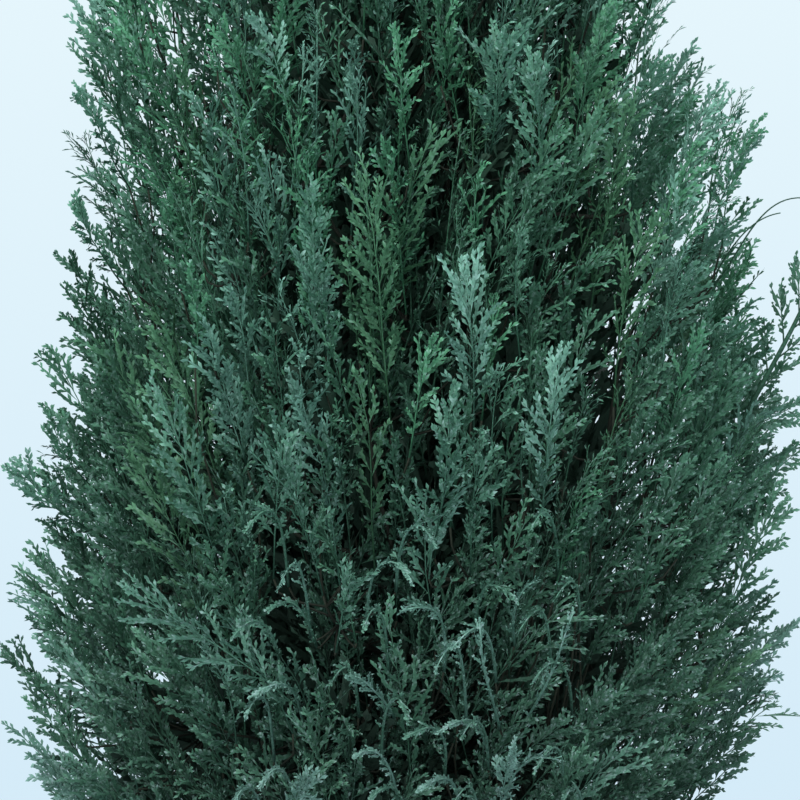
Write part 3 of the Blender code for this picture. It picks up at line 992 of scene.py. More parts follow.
@dataclass
class Frond:
    """A flat frond: side sprays stand alternately on a rachis, and teeth on each of them."""

    crown: Crown
    sides: int = 24
    teeth: int = 8
    bare: float = 0.16
    base_angle: float = math.radians(39)
    tip_angle: float = math.radians(20)
    tooth_length: float = 0.0038
    tooth_width: float = 0.00138
    tooth_angle: float = math.radians(24)
    axis_width: float = 0.0018
    forward: float = math.radians(20)
    forward_spread: float = math.radians(26)
    roll: float = math.radians(60)
    curl: float = 0.75
    droop: float = 0.26
    tilt: float = 0.7
    mottle: float = 0.42
    short_share: float = 0.13
    side_numbers: int = 97
    tooth_numbers: int = 13
    just_ahead: float = 0.02
    slant: Pair = (0.8, 0.06)
    rachis_radius: float = 0.00046
    rachis_points: int = 6
    rachis_sides: int = 3
    rachis_shade: Pair = (0.0, 0.34)
    rachis_tip: float = 0.45
    jitter: float = 0.35
    last_place: float = 0.985
    place_power: float = 0.95
    last_turn: float = 0.12
    level: float = 0.4
    angle_spread: float = math.radians(9)
    envelope: Triple = (0.50, 1.9, -2.15)
    length_range: Pair = (0.76, 0.46)
    short: float = 0.45
    lift_range: Pair = (0.14, 0.42)
    tooth_places: Triple = (0.16, 0.88, 0.86)
    tooth_spread: float = math.radians(11)
    full_side: float = 0.014
    side_sizes: Pair = (0.55, 1.15)
    tooth_range: Pair = (0.76, 0.48)
    tooth_slimming: Pair = (0.98, -0.10)
    belly: float = 0.64
    fold: float = 0.22
    axis_middle: float = 0.52
    side_tone: Pair = (0.34, 0.20)
    tooth_tone: float = 0.36
    # Painted light and shade on each tooth: its base darker and its tip paler, as where tips catch the light.
    corner_tones: Quad = (-0.14, 0.04, 0.24, 0.04)
    axis_tone: float = 0.30

    def grown(self, shoots: Shoots) -> Surface:
        """The fronds of a batch of shoots.

        The flat of a frond turns along its rachis. A side spray leaves the rachis at t and
        follows A(v) = C(t) + l (v d + v^2 (e-d)/2), from its first direction d to its last
        direction e. A tooth is a folded kite that points forwards from A(v), to one side and
        then to the other, and the side spray's own axis is a narrow strip.

        Args:
            shoots: The axes, flats and widths.

        Returns:
            The leaves and the rachises.
        """
        number = shoots.index[:, None] * self.side_numbers + np.arange(self.sides)
        chance, either = self.crown.chance, self.crown.either_way
        share = (np.arange(self.sides) + 0.5) / (self.sides - 0.5)
        share = np.clip(share + self.jitter / self.sides * either(number, Salt.SIDE_PLACE), 0, 1)
        share[:, -1] = 1
        t = self.bare + (self.last_place - self.bare) * share**self.place_power
        root = shoots.line(t)
        ahead = unit(shoots.line(t + self.just_ahead) - root)
        side = unit(shoots.side[:, None] - dot(shoots.side[:, None], ahead) * ahead)
        roll = (self.roll * either(shoots.index, Salt.ROLL)[:, None] * (t - self.level))[..., None]
        side = np.cos(roll) * side + np.sin(roll) * np.cross(ahead, side)
        normal = np.cross(ahead, side)
        turn = np.where((np.arange(self.sides) + shoots.index[:, None]) % 2, 1.0, -1.0)
        turn[:, -1] *= self.last_turn
        angle = self.base_angle + (self.tip_angle - self.base_angle) * share
        angle = angle + self.angle_spread * either(number, Salt.SIDE_ANGLE)
        steeper, more = self.slant
        length = shoots.half_width[:, None] * self.widths(number, share) / np.sin(steeper * angle + more)
        turn, angle = turn[..., None], angle[..., None]
        least, spread = self.lift_range
        lift = (least + spread * either(number, Salt.SIDE_LIFT))[..., None] * normal
        first = unit(np.cos(angle) * ahead + np.sin(angle) * turn * side + lift)
        later = angle - (self.forward + self.forward_spread * either(number, Salt.SIDE_FORWARD))[..., None]
        curl = (self.curl * either(number, Salt.SIDE_CURL))[..., None] * normal
        last = unit(np.cos(later) * ahead + np.sin(later) * turn * side + lift + curl - self.droop * UP)
        leaves = self.leaves(number, share, root, first, last, normal, length)
        return Surface.joined([leaves, self.rachises(shoots)])

    def widths(self, number: Array, share: Array) -> Array:
        """How far the side sprays reach aside, as shares of the frond's half width.

        A parabola a + b t + c t^2 of their place, times a chance; a few are stunted.

        Args:
            number: A number for each side spray's chances, (fronds, sides).
            share: Their places along the foliage of the frond, from 0 to 1.

        Returns:
            The shares.
        """
        base, slope, fall = self.envelope
        least, spread = self.length_range
        reach = (base + slope * share + fall * share**2) * (
            least + spread * self.crown.chance(number, Salt.SIDE_LENGTH)
        )
        return reach * np.where(self.crown.chance(number, Salt.SHORT_SIDE) < self.short_share, self.short, 1)

    def leaves(
        self,
        number: Array,
        share: Array,
        root: Array,
        first: Array,
        last: Array,
        normal: Array,
        length: Array,
    ) -> Surface:
        """The kites and strips of all side sprays.

        Args:
            number: A number for each side spray's chances, (fronds, sides).
            share: Their places along the foliage of the frond, from 0 to 1.
            root: Where they leave the rachis.
            first: Their first directions.
            last: Their last directions.
            normal: The frond's normal there.
            length: Their lengths.

        Returns:
            The kites and strips.
        """
        chance, either = self.crown.chance, self.crown.either_way
        lowest, highest, end = self.tooth_places
        place = np.append(np.linspace(lowest, highest, self.teeth - 1), end)
        leaf = number[..., None] * self.tooth_numbers + np.arange(self.teeth)
        way = np.where(np.arange(self.teeth) % 2, 1.0, -1.0)
        way[-1] = 0.0
        run, root, first, last = (a[:, :, None] for a in (length[..., None], root, first, last))
        v = place[:, None]
        start = root + run * (v * first + v**2 / 2 * (last - first))
        heading = unit(first + v * (last - first))
        across = unit(np.cross(normal[:, :, None], heading))
        up = np.cross(heading, across)
        angle = (self.tooth_angle + self.tooth_spread * either(leaf, Salt.TOOTH_ANGLE)) * way
        angle = (angle + self.angle_spread * either(leaf, Salt.LAST_TOOTH) * (way == 0))[..., None]
        tilt = (self.tilt * either(leaf, Salt.TOOTH_TILT))[..., None]
        ahead = unit(np.cos(angle) * heading + np.sin(angle) * across + tilt * up)
        small = np.clip(length / self.full_side, *self.side_sizes)[..., None]
        whole, slimmer = self.tooth_slimming
        least, spread = self.tooth_range
        size = small * (whole + slimmer * place) * (least + spread * chance(leaf, Salt.TOOTH_SIZE))
        reach = (self.tooth_length * size)[..., None]
        width = np.broadcast_to(self.tooth_width * np.sqrt(size)[..., None], reach.shape)
        kites = self.kites(start, ahead, up, reach, width)
        along, chanced = self.side_tone
        lift = (along * share + chanced * either(number, Salt.SIDE_SHADE))[..., None]
        speck = self.mottle * (chance(leaf, Salt.TOOTH_SHADE) - 0.5)
        # Tones along the tooth, plus painted shade at its base and painted highlight at its tip.
        tone = (place * self.tooth_tone + lift + speck)[..., None] + np.array(self.corner_tones)
        teeth = Surface.leaves(kites, ((0, 1, 2), (0, 2, 3)), tone)
        return Surface.joined([teeth, self.axes(root, first, last, run, normal, lift[..., 0])])

    def axes(self, root: Array, first: Array, last: Array, run: Array, normal: Array, lift: Array) -> Surface:
        """The side sprays' own axes: long kites, bent at their middles to follow the curves.

        Args:
            root: Where they leave the rachis, (fronds, sides, 1, 3), as the next three.
            first: Their first directions.
            last: Their last directions.
            run: Their lengths.
            normal: The frond's normal there, (fronds, sides, 3).
            lift: What is added to their shade.

        Returns:
            The kites.
        """
        v = np.array((0.0, self.axis_middle, 1.0, self.axis_middle))[:, None]
        wide = np.array((0.0, 0.5, 0.0, -0.5))[:, None] * self.axis_width
        heading = unit(first + v * (last - first))
        across = unit(np.cross(normal[:, :, None], heading))
        points = root + run * (v * first + v**2 / 2 * (last - first)) + wide * across
        return Surface.leaves(points, ((0, 1, 3), (1, 2, 3)), self.axis_tone * v[:, 0] + lift[..., None])

    def kites(self, start: Array, ahead: Array, up: Array, reach: Array, width: Array) -> Array:
        """Folded kites: base, right shoulder, tip and left shoulder.

        The shoulders stand at a share of the reach, half a width to each side and a little
        below the midrib.

        Args:
            start: The kites' bases.
            ahead: Their directions.
            up: Their normals.
            reach: Their lengths.
            width: Their widths.

        Returns:
            The corners, with an axis of four before the last.
        """
        across = unit(np.cross(ahead, up))
        middle = start + self.belly * reach * ahead - self.fold * width * up
        right, left = middle + 0.5 * width * across, middle - 0.5 * width * across
        tip = start + reach * ahead
        return np.stack(np.broadcast_arrays(start, right, tip, left), axis=-2)

    def rachises(self, shoots: Shoots) -> Surface:
        """The fronds' own axes, thinner towards their tips.

        Args:
            shoots: The axes.

        Returns:
            The rachises.
        """
        line = shoots.line(np.linspace(0, 1, self.rachis_points))
        thinnest = self.rachis_tip * self.rachis_radius
        return tapered(line, self.rachis_radius, thinnest, self.rachis_sides, self.rachis_shade)


@dataclass
class Stray:
    """A shoot that stands out of the crown on the right, with or without small fronds."""

    crown: Crown
    number: int
    azimuth: float
    knots: tuple[Pair, ...]
    radius: float
    tip_radius: float
    fronds: int = 0
    first_frond: float = 0.30
    long: float = 0.024
    short: float = 0.012
    half_width: float = 0.0052
    angle: float = math.radians(27)
    angle_spread: float = 0.3
    aside: float = 0.5
    rising: float = 0.35
    length_range: Pair = (0.7, 0.6)
    sway: float = 0.02
    points: int = 24
    sides: int = 6
    shade: Pair = (0.0, 0.25)

    def line(self, shares: Array) -> Array:
        """Points of its axis: radius and height are cubics of the share that fit the knots.

        Args:
            shares: Shares of the way.

        Returns:
            The points.
        """
        radius, height = np.array(self.knots).T
        steps = np.hypot(np.diff(radius), np.diff(height))
        way = np.concatenate(([0], np.cumsum(steps))) / steps.sum()
        outwards, upwards = (np.polyval(np.polyfit(way, knots, 3), shares) for knots in (radius, height))
        return self.crown.point(upwards, outwards, self.azimuth)

    def twig(self) -> Surface:
        """Its axis as a tapering tube."""
        line = self.line(np.linspace(0, 1, self.points))
        return tapered(line[None], self.radius, self.tip_radius, self.sides, self.shade)

    def shoots(self) -> Shoots:
        """Its small fronds: they leave alternately, shorter upwards, and the last goes on ahead.

        Returns:
            The shoots.
        """
        index = self.number + np.arange(self.fronds)
        share = np.linspace(self.first_frond, 0.99, self.fronds)
        base = self.line(share)
        ahead = unit(self.line(share + 0.01) - base)
        around = np.array((-math.sin(self.azimuth), math.cos(self.azimuth), 0.0))
        turn = np.where(np.arange(self.fronds) % 2, 1.0, -1.0)[:, None]
        turn[-1:] = 0.0
        spread = self.angle_spread * self.crown.either_way(index, Salt.SPRIG_ANGLE)
        lean = self.angle * (1 + spread)[:, None] * turn
        flat = unit(np.cross(around, ahead))
        aside = (self.aside * self.crown.either_way(index, Salt.SPRIG_ASIDE))[:, None] * around
        least, more = self.length_range
        length = self.long + (self.short - self.long) * share
        length = length * (least + more * self.crown.chance(index, Salt.SPRIG_LENGTH))
        heading = unit(np.cos(lean) * ahead + np.sin(lean) * flat + aside)
        control = base + 0.5 * length[:, None] * heading
        tip = control + 0.5 * length[:, None] * unit(heading + self.rising * UP)
        side = unit(flat - dot(flat, heading) * heading)
        width = np.full(self.fronds, self.half_width)
        return Shoots(index, base, control, tip, side, width, 0 * length, self.sway * length)

    def root(self) -> Shoots:
        """Its foot as a batch of one, so that a branch is led to it.

        Returns:
            The batch.
        """
        base, control, tip = (self.line(np.array((share,))) for share in (0.0, 0.15, 0.3))
        one, none = np.ones(1), np.zeros(1)
        return Shoots(self.number * one, base, control, tip, UP[None], one, none, none)


@dataclass
class Twigs:
    """Stems, branches and stalks, which carry every frond from its mass's stem."""

    limbs: Limbs
    branches: int = 230
    branch_radius: float = 0.00135
    stalk_radius: float = 0.00050
    stalk_taper: float = 1.15
    stem_points: int = 12
    stem_sides: int = 6
    stem_drawn: float = 0.86
    branch_points: int = 9
    branch_sides: int = 5
    stalk_points: int = 4
    stalk_sides: int = 3
    stem_shades: Pair = (0, 0.35)
    branch_shades: Pair = (0.1, 0.5)
    stalk_shades: Pair = (0.25, 0.7)
    leave_between: tuple[float, float, int] = (0.02, 0.84, 14)
    branch_climb: Pair = (1.6, 0.55)
    stalk_climb: Pair = (1.4, 0.45)
    other_mass: float = 10.0
    owned_at: float = 0.3
    onward: float = 0.45
    dip: float = 0.014

    def stems(self) -> Surface:
        """The masses' stems, which carry on from the boughs.

        Returns:
            The stems.
        """
        limbs = self.limbs
        line = bend(*limbs.stems, np.linspace(0, self.stem_drawn, self.stem_points))
        return tapered(line, limbs.bough_tip_radius, limbs.stem_tip_radius, self.stem_sides, self.stem_shades)

    def carried(self, shoots: Shoots) -> Surface:
        """Branches from the stems to the first fronds, and stalks from them to the others.

        A branch leaves its stem where the way to the frond climbs best. A stalk leaves the
        nearest branch of its mass at a share of the way that lies below it.

        Args:
            shoots: All the fronds that need a stalk.

        Returns:
            The branches and stalks.
        """
        owner = self.limbs.owner(shoots.line(np.array((self.owned_at,)))[:, 0])
        pick = np.arange(min(self.branches, len(owner)))
        start = self.stem_point(owner[pick], shoots.base[pick])
        branch = self.lines(start, shoots.base[pick], shoots.control[pick], self.branch_points)
        made = tapered(branch, self.branch_radius, self.stalk_radius, self.branch_sides, self.branch_shades)
        rest = np.arange(len(pick), len(owner))
        base = shoots.base[rest]
        knots = branch[:, 2:-1]
        cost = self.detour(base[:, None, None] - knots[None], *self.stalk_climb)
        cost = cost + self.other_mass * (owner[rest][:, None] != owner[pick][None])[..., None]
        best = cost.reshape(len(rest), -1).argmin(axis=1)
        start = knots.reshape(-1, 3)[best]
        stalk = self.lines(start, base, shoots.control[rest], self.stalk_points)
        thickest = self.stalk_taper * self.stalk_radius
        stalks = tapered(stalk, thickest, self.stalk_radius, self.stalk_sides, self.stalk_shades)
        return Surface.joined([made, stalks])

    def stem_point(self, owner: Array, base: Array) -> Array:
        """The point of each one's stem from which the way to its base climbs best.

        Args:
            owner: The number of each one's mass.
            base: Where each one starts.

        Returns:
            The points.
        """
        stem = bend(*self.limbs.stems, np.linspace(*self.leave_between))[owner]
        cost = self.detour(base[:, None] - stem, *self.branch_climb)
        return stem[np.arange(len(owner)), cost.argmin(axis=1)]

    @staticmethod
    def detour(gap: Array, weight: float, climb: float) -> Array:
        """How dear a way is: its length, and more where it climbs less than a share of it."""
        away = np.linalg.norm(gap, axis=-1)
        return away + weight * np.maximum(climb * away - gap[..., 2], 0)

    def lines(self, start: Array, end: Array, onward: Array, points: int) -> Array:
        """Curves that arrive at each end in the direction of the frond, and hardly dip below it.

        Args:
            start: Where they start.
            end: Where they end.
            onward: Where the fronds bend.
            points: Points of a curve.

        Returns:
            The curves, (curves, points, 3).
        """
        reach = np.linalg.norm(end - start, axis=1, keepdims=True)
        climb = self.dip + np.maximum((end - start)[:, 2:], 0)
        control = end - self.onward * np.minimum(reach, climb) * unit(onward - end)
        return bend(start, control, end, np.linspace(0, 1, points))


@dataclass(frozen=True)
class Noise:
    """A noise of a finish: its scale per metre, its detail and its weight."""

    scale: float
    detail: float
    weight: float = 1.0


class Value:
    """A shader socket or number in an expression, whose operators add Math nodes."""

    def __init__(self, nodes: "Nodes", source: "bpy.types.NodeSocket | float") -> None:
        """Wraps a socket or a number of one node tree."""
        self.nodes = nodes
        self.source = source

    def math(self, operation: str, *others: "Value | float") -> "Value":
        """A Math node on this value and others."""
        inputs = dict(enumerate((self.source, *(getattr(o, "source", o) for o in others))))
        return Value(self.nodes, self.nodes.add("ShaderNodeMath", {"operation": operation}, inputs))

    def __add__(self, other: "Value | float") -> "Value":
        """This value plus another."""
        return self.math("ADD", other)

    __radd__ = __add__

    def __mul__(self, other: "Value | float") -> "Value":
        """This value times another."""
        return self.math("MULTIPLY", other)

    __rmul__ = __mul__

    def __sub__(self, other: "Value | float") -> "Value":
        """This value less another."""
        return self.math("SUBTRACT", other)

    def __rsub__(self, other: float) -> "Value":
        """A number less this value."""
        return Value(self.nodes, other).math("SUBTRACT", self)

    def clamped(self) -> "Value":
        """This value held between 0 and 1."""
        return self.math("MINIMUM", 1.0).math("MAXIMUM", 0.0)


class Nodes:
    """The nodes of one material or world."""

    def __init__(self, tree: bpy.types.NodeTree) -> None:
        """Starts from an empty tree."""
        tree.nodes.clear()
        self.tree = tree

    def add(
        self, kind: str, settings: Settings, inputs: Inputs, output: int | str = 0
    ) -> bpy.types.NodeSocket:
        """Adds a node.

        Args:
            kind: The node's type.
            settings: Its properties, set first.
            inputs: Values or links of its sockets, by name or number.
            output: The output that is wanted.

        Returns:
            That output's socket, or the node itself where it has none.
        """
        node = self.tree.nodes.new(kind)
        for name, value in settings.items():
            setattr(node, name, value)
        for name, value in inputs.items():
            value = getattr(value, "source", value)
            if isinstance(value, bpy.types.NodeSocket):
                self.tree.links.new(value, node.inputs[name])
            else:
                node.inputs[name].default_value = value
        return node.outputs[output] if len(node.outputs) else node

    def value(self, kind: str, settings: Settings, inputs: Inputs, output: int | str = 0) -> Value:
        """Adds a node and wraps its output for expressions."""
        return Value(self, self.add(kind, settings, inputs, output))

    def where(self) -> bpy.types.NodeSocket:
        """The object's own coordinates."""
        return self.add("ShaderNodeTexCoord", {}, {}, "Object")

    def shade(self) -> Value:
        """The shade that each corner of a piece has."""
        return self.value("ShaderNodeAttribute", {"attribute_name": "shade"}, {}, "Fac")

    def noise(self, where: bpy.types.NodeSocket, noise: Noise) -> Value:
        """A noise from about 0 to 1."""
        inputs = {"Vector": where, "Scale": noise.scale, "Detail": noise.detail, "Roughness": 0.55}
        return self.value("ShaderNodeTexNoise", {}, inputs)

    def mixed(self, factor: Value, first: object, second: object) -> bpy.types.NodeSocket:
        """A mix of two colours, whose sockets on the node are numbers 6 and 7, and 2 for the result."""
        inputs = {"Factor": factor, 6: first, 7: second}
        return self.add("ShaderNodeMix", {"data_type": "RGBA"}, inputs, 2)

    def bump(self, height: Value, strength: float) -> bpy.types.NodeSocket:
        """A fine bump of less than half a millimetre."""
        return self.add("ShaderNodeBump", {}, {"Strength": strength, "Distance": 0.0004, "Height": height})

    def surface(self, inputs: Inputs) -> None:
        """Ends a material with a Principled shader of these inputs."""
        shader = self.add("ShaderNodeBsdfPrincipled", {}, inputs)
        self.add("ShaderNodeOutputMaterial", {}, {"Surface": shader})


def new_material(name: str) -> tuple[bpy.types.Material, Nodes]:
    """A material of this name, with its nodes.

    Args:
        name: Its name.

    Returns:
        The material and its nodes.
    """
    made = bpy.data.materials.new(name)
    made.use_nodes = True
    return made, Nodes(made.node_tree)


def opaque(colour: Colour) -> Quad:
    """A colour with full alpha."""
    return (*colour, 1.0)


@dataclass(frozen=True)
class LeafFinish:
    """Scale leaves: a dull green that pales towards the tips, finely pebbled."""

    name: str
    deep: Colour
    pale: Colour
    roughness: float = 0.55
    bloom: float = 0.0
    # The pale specks' colour: partly glaucous bloom, partly painted highlight.
    frost: Colour = (0.310, 0.450, 0.420)
    frosted: float = 0.75
    greyer: Colour = (1.20, 0.97, 1.10)
    grey_below: float = 0.40
    grey_gain: float = 4.0
    clumps: Noise = Noise(55, 2, 0.7)
    specks: Noise = Noise(900, 2, 0.9)
    wax: Noise = Noise(480, 1, 6.0)
    wax_from: float = 3.2
    rougher: float = 0.3
    bump: float = 0.35
    specular: float = 0.22

    def material(self) -> bpy.types.Material:
        """Builds the material.

        The shade and two noises mix the deep and the pale colour, and a third noise lays pale grey-blue
        specks on the paler parts: partly the leaves' glaucous bloom and partly painted highlights. The lower
        the leaf, the greyer it is.

        Returns:
            The material.
        """
        made, nodes = new_material(self.name)
        where, shade = nodes.where(), nodes.shade()
        clumps, specks = nodes.noise(where, self.clumps), nodes.noise(where, self.specks)
        mottle = (clumps - 0.5) * self.clumps.weight + (specks - 0.5) * self.specks.weight
        wax = (nodes.noise(where, self.wax) * self.wax.weight - self.wax_from).clamped()
        colour = nodes.mixed((shade + mottle + self.bloom).clamped(), opaque(self.deep), opaque(self.pale))
        # Pale specks on the paler parts: partly the leaves' glaucous bloom and partly painted highlights.
        colour = nodes.mixed(wax * shade * self.frosted, colour, opaque(self.frost))
        rise = nodes.value("ShaderNodeSeparateXYZ", {}, {0: where}, "Z")
        low = ((self.grey_below - rise) * self.grey_gain).clamped()
        greyer = nodes.add("ShaderNodeVectorMath", {"operation": "MULTIPLY"}, {0: colour, 1: self.greyer})
        nodes.surface({
            "Base Color": nodes.mixed(low, colour, greyer),
            "Roughness": specks * self.rougher + (self.roughness - self.rougher / 2),
            "Normal": nodes.bump(specks, self.bump),
            "Specular IOR Level": self.specular,
        })
        return made


@dataclass(frozen=True)
class BarkFinish:
    """Stringy bark: red-brown in the furrows and grey on the strips."""

    name: str
    furrow: Colour
    strip: Colour
    roughness: float = 0.85
    stretch: float = 0.12
    relief_share: float = 0.8
    fibres: Noise = Noise(1400, 3, 1.1)
    patches: Noise = Noise(90, 2, 0.7)
    rougher: float = 0.2
    bump: float = 0.5
    specular: float = 0.2

    def material(self) -> bpy.types.Material:
        """Builds the material: the relief's shade and a noise drawn out along Z.

        Returns:
            The material.
        """
        made, nodes = new_material(self.name)
        where = nodes.where()
        drawn = nodes.add("ShaderNodeMapping", {}, {"Vector": where, "Scale": (1, 1, self.stretch)})
        fibres, patches = nodes.noise(drawn, self.fibres), nodes.noise(where, self.patches)
        mottle = (fibres - 0.5) * self.fibres.weight + (patches - 0.5) * self.patches.weight
        factor = (nodes.shade() * self.relief_share + mottle).clamped()
        nodes.surface({
            "Base Color": nodes.mixed(factor, opaque(self.furrow), opaque(self.strip)),
            "Roughness": fibres * self.rougher + (self.roughness - self.rougher / 2),
            "Normal": nodes.bump(fibres, self.bump),
            "Specular IOR Level": self.specular,
        })
        return made


class Green(Enum):
    """The finishes that are dealt out to the fronds. DEEP, MIDDLE, TEAL and BLOOM are darker and paler copies
    of one green, which serve partly as painted shade and painted light.
    """

    # From DEEP up to BLOOM: darker to paler copies, dealt out partly by chance and partly as painted shade
    # and painted light.
    BLOOM = LeafFinish("leaf_bloom", (0.030, 0.094, 0.060), (0.180, 0.372, 0.282), 0.55, 0.04)
    TEAL = LeafFinish("leaf_teal", (0.024, 0.081, 0.049), (0.120, 0.288, 0.194), 0.58)
    LUSH = LeafFinish("leaf_lush", (0.022, 0.090, 0.044), (0.103, 0.310, 0.168), 0.58)
    MIDDLE = LeafFinish("leaf_middle", (0.020, 0.075, 0.040), (0.090, 0.236, 0.142), 0.60)
    DEEP = LeafFinish("leaf_deep", (0.016, 0.055, 0.031), (0.064, 0.176, 0.106), 0.62)
    FRESH = LeafFinish("leaf_fresh", (0.022, 0.074, 0.034), (0.098, 0.250, 0.134), 0.58, frosted=0.4)
    # INNER: the old fronds' own duller green, darkened much further as painted shade of the crown's inside.
    INNER = LeafFinish("leaf_inner", (0.008, 0.021, 0.013), (0.020, 0.050, 0.031), 0.70, frosted=0.0)

    @property
    def number(self) -> int:
        """Its place among the greens."""
        return list(Green).index(self)


@dataclass
class Foliage:
    """All fronds: the outer ones that show, and the old ones behind them, whose very dark finish is partly
    painted shade of the crown's inside.
    """

    crown: Crown
    limbs: Limbs
    planter: Planter
    outer_count: int = 1900
    inner_count: int = 1150
    leader_count: int = 30
    relief: float = 0.22
    inner_number: int = 5000
    leader_number: int = 7000
    plume_number: int = 8000
    curl_number: int = 8500
    plume_bend: float = 0.03
    inner_top: float = 0.80
    inner_turn: float = 0.5
    inner_size: float = 1.12
    inner_width: float = 1.6
    inner_depths: Triple = (0.20, 0.08, 0.44)
    inner_relief: float = 0.8
    inner_deepest: float = 0.85
    # Painted shade and light: lower fronds, deeper ones and fronds in the darker spots get darker finishes;
    # higher ones, those on the crests and those in the paler spots get paler finishes.
    darker_down: float = 0.9
    even_height: float = 0.36
    by_height: Pair = (-0.14, 0.10)
    darker_inwards: float = 0.8
    even_depth: float = 0.35
    by_depth: Pair = (-0.4, 0.8)
    limits: tuple[tuple[float, Green], ...] = ((0.82, Green.MIDDLE), (0.52, Green.TEAL), (0.18, Green.BLOOM))
    lush_share: float = 0.75
    lush_height: Pair = (0.29, 0.16)
    fresh_clump: float = 1.75
    fresh_lot: float = 0.30
    fresh_share: float = 0.6
    # Spots of the front: across, up, width, height and amount; positive amounts are painted shade, negative
    # ones painted light.
    shades: tuple[tuple[float, float, float, float, float], ...] = (
        (0.118, 0.280, 0.055, 0.085, 0.60), (0.095, 0.375, 0.055, 0.030, 0.45),
        (0.075, 0.475, 0.040, 0.030, 0.30), (-0.122, 0.340, 0.030, 0.120, 0.60),
        (-0.088, 0.425, 0.018, 0.020, 0.20), (0.010, 0.215, 0.060, 0.030, 0.25),
        (-0.050, 0.410, 0.035, 0.042, -0.40), (-0.088, 0.496, 0.028, 0.028, -0.35),
        (-0.083, 0.345, 0.026, 0.045, -0.55), (0.110, 0.545, 0.050, 0.030, -0.25),
        (0.023, 0.375, 0.022, 0.030, -0.40), (0.060, 0.515, 0.025, 0.028, -0.40),
        (-0.010, 0.515, 0.045, 0.030, -0.25), (-0.025, 0.450, 0.035, 0.030, -0.30),
    )
    fresh_places: tuple[Quad, ...] = (
        (-94, 0.42, 6, 0.045), (-137, 0.38, 11, 0.050), (-48, 0.485, 5, 0.045), (-50, 0.385, 2.5, 0.03),
        (-70, 0.51, 5, 0.02), (-97, 0.52, 5, 0.02), (-83, 0.49, 4, 0.02), (-130, 0.49, 5, 0.02),
        (-20, 0.25, 8, 0.02),
    )
    plumes: tuple[Plume, ...] = (
        Plume((0.037, 0.347), (0.035, 0.380), (0.033, 0.418), 0.0125, Green.BLOOM),
        Plume((0.064, 0.306), (0.068, 0.345), (0.071, 0.383), 0.0100, Green.BLOOM, 0.5),
        Plume((0.002, 0.352), (-0.002, 0.405), (-0.010, 0.461), 0.0125, Green.FRESH, 0.3),
        Plume((-0.026, 0.225), (-0.060, 0.262), (-0.107, 0.288), 0.0125, Green.TEAL, -0.4),
        Plume((-0.070, 0.286), (-0.077, 0.330), (-0.093, 0.367), 0.0135, Green.TEAL, 0.3),
        Plume((-0.030, 0.455), (-0.030, 0.490), (-0.029, 0.530), 0.0060, Green.BLOOM, 1.2),
        Plume((0.044, 0.470), (0.046, 0.492), (0.048, 0.518), 0.0110, Green.TEAL, 0.4),
        Plume((0.130, 0.328), (0.158, 0.352), (0.187, 0.362), 0.0110, Green.TEAL),
        Plume((0.138, 0.304), (0.162, 0.325), (0.185, 0.340), 0.0070, Green.MIDDLE),
        Plume((-0.128, 0.300), (-0.146, 0.318), (-0.1605, 0.338), 0.0080, Green.TEAL),
        Plume((-0.114, 0.455), (-0.125, 0.478), (-0.1310, 0.496), 0.0060, Green.TEAL),
        Plume((-0.114, 0.410), (-0.127, 0.430), (-0.1315, 0.449), 0.0060, Green.TEAL),
        Plume((-0.126, 0.318), (-0.139, 0.338), (-0.1440, 0.358), 0.0060, Green.MIDDLE),
        Plume((0.020, 0.300), (0.023, 0.335), (0.026, 0.366), 0.0090, Green.TEAL, 0.4),
        Plume((-0.026, 0.385), (-0.028, 0.420), (-0.031, 0.452), 0.0090, Green.TEAL, -0.4),
        Plume((0.067, 0.440), (0.064, 0.475), (0.061, 0.507), 0.0100, Green.TEAL, 0.5),
        Plume((0.043, 0.177), (0.047, 0.203), (0.052, 0.223), 0.0062, Green.BLOOM),
        Plume((-0.040, 0.177), (-0.039, 0.196), (-0.034, 0.213), 0.0070, Green.BLOOM),
    )
    curls: tuple[Plume, ...] = (
        Plume((0.024, 0.252), (0.027, 0.289), (0.006, 0.283), 0.0026, Green.BLOOM, 0.5),
        Plume((0.048, 0.226), (0.042, 0.250), (0.038, 0.278), 0.0032, Green.BLOOM, 0.4),
        Plume((0.054, 0.262), (0.050, 0.290), (0.061, 0.294), 0.0024, Green.BLOOM, 0.9),
        Plume((0.058, 0.228), (0.070, 0.256), (0.077, 0.281), 0.0031, Green.BLOOM, 0.7),
        Plume((0.003, 0.232), (-0.003, 0.252), (-0.013, 0.256), 0.0042, Green.BLOOM, 0.3),
        Plume((0.024, 0.206), (0.028, 0.240), (0.008, 0.231), 0.0025, Green.TEAL, 0.8),
        Plume((0.042, 0.218), (0.037, 0.246), (0.022, 0.233), 0.0023, Green.BLOOM, 0.8),
        Plume((0.005, 0.188), (0.004, 0.230), (-0.013, 0.223), 0.0026, Green.BLOOM, 0.8),
        Plume((0.049, 0.184), (0.048, 0.226), (0.071, 0.219), 0.0030, Green.BLOOM, 0.6),
        Plume((-0.014, 0.176), (-0.004, 0.200), (0.010, 0.182), 0.0026, Green.TEAL, 0.8),
        Plume((-0.030, 0.262), (-0.034, 0.290), (-0.048, 0.284), 0.0028, Green.TEAL, 0.5),
    )
    arch_count: int = 26
    arch_field: tuple[Pair, Pair] = ((-0.060, 0.165), (0.100, 0.300))
    arch_start: Pair = (0.3, 0.5)
    arch_step: Pair = (0.7549, 0.5698)
    arch_rise: Pair = (0.014, 0.014)
    arch_reach: Pair = (0.009, 0.010)
    arch_bend: Pair = (0.15, 1.9)
    arch_tip: Pair = (1.1, 1.0)
    arch_width: float = 0.0026
    arch_turn: float = 0.7
    arch_rightwards: float = 0.35
    arch_bloomed: float = 0.25

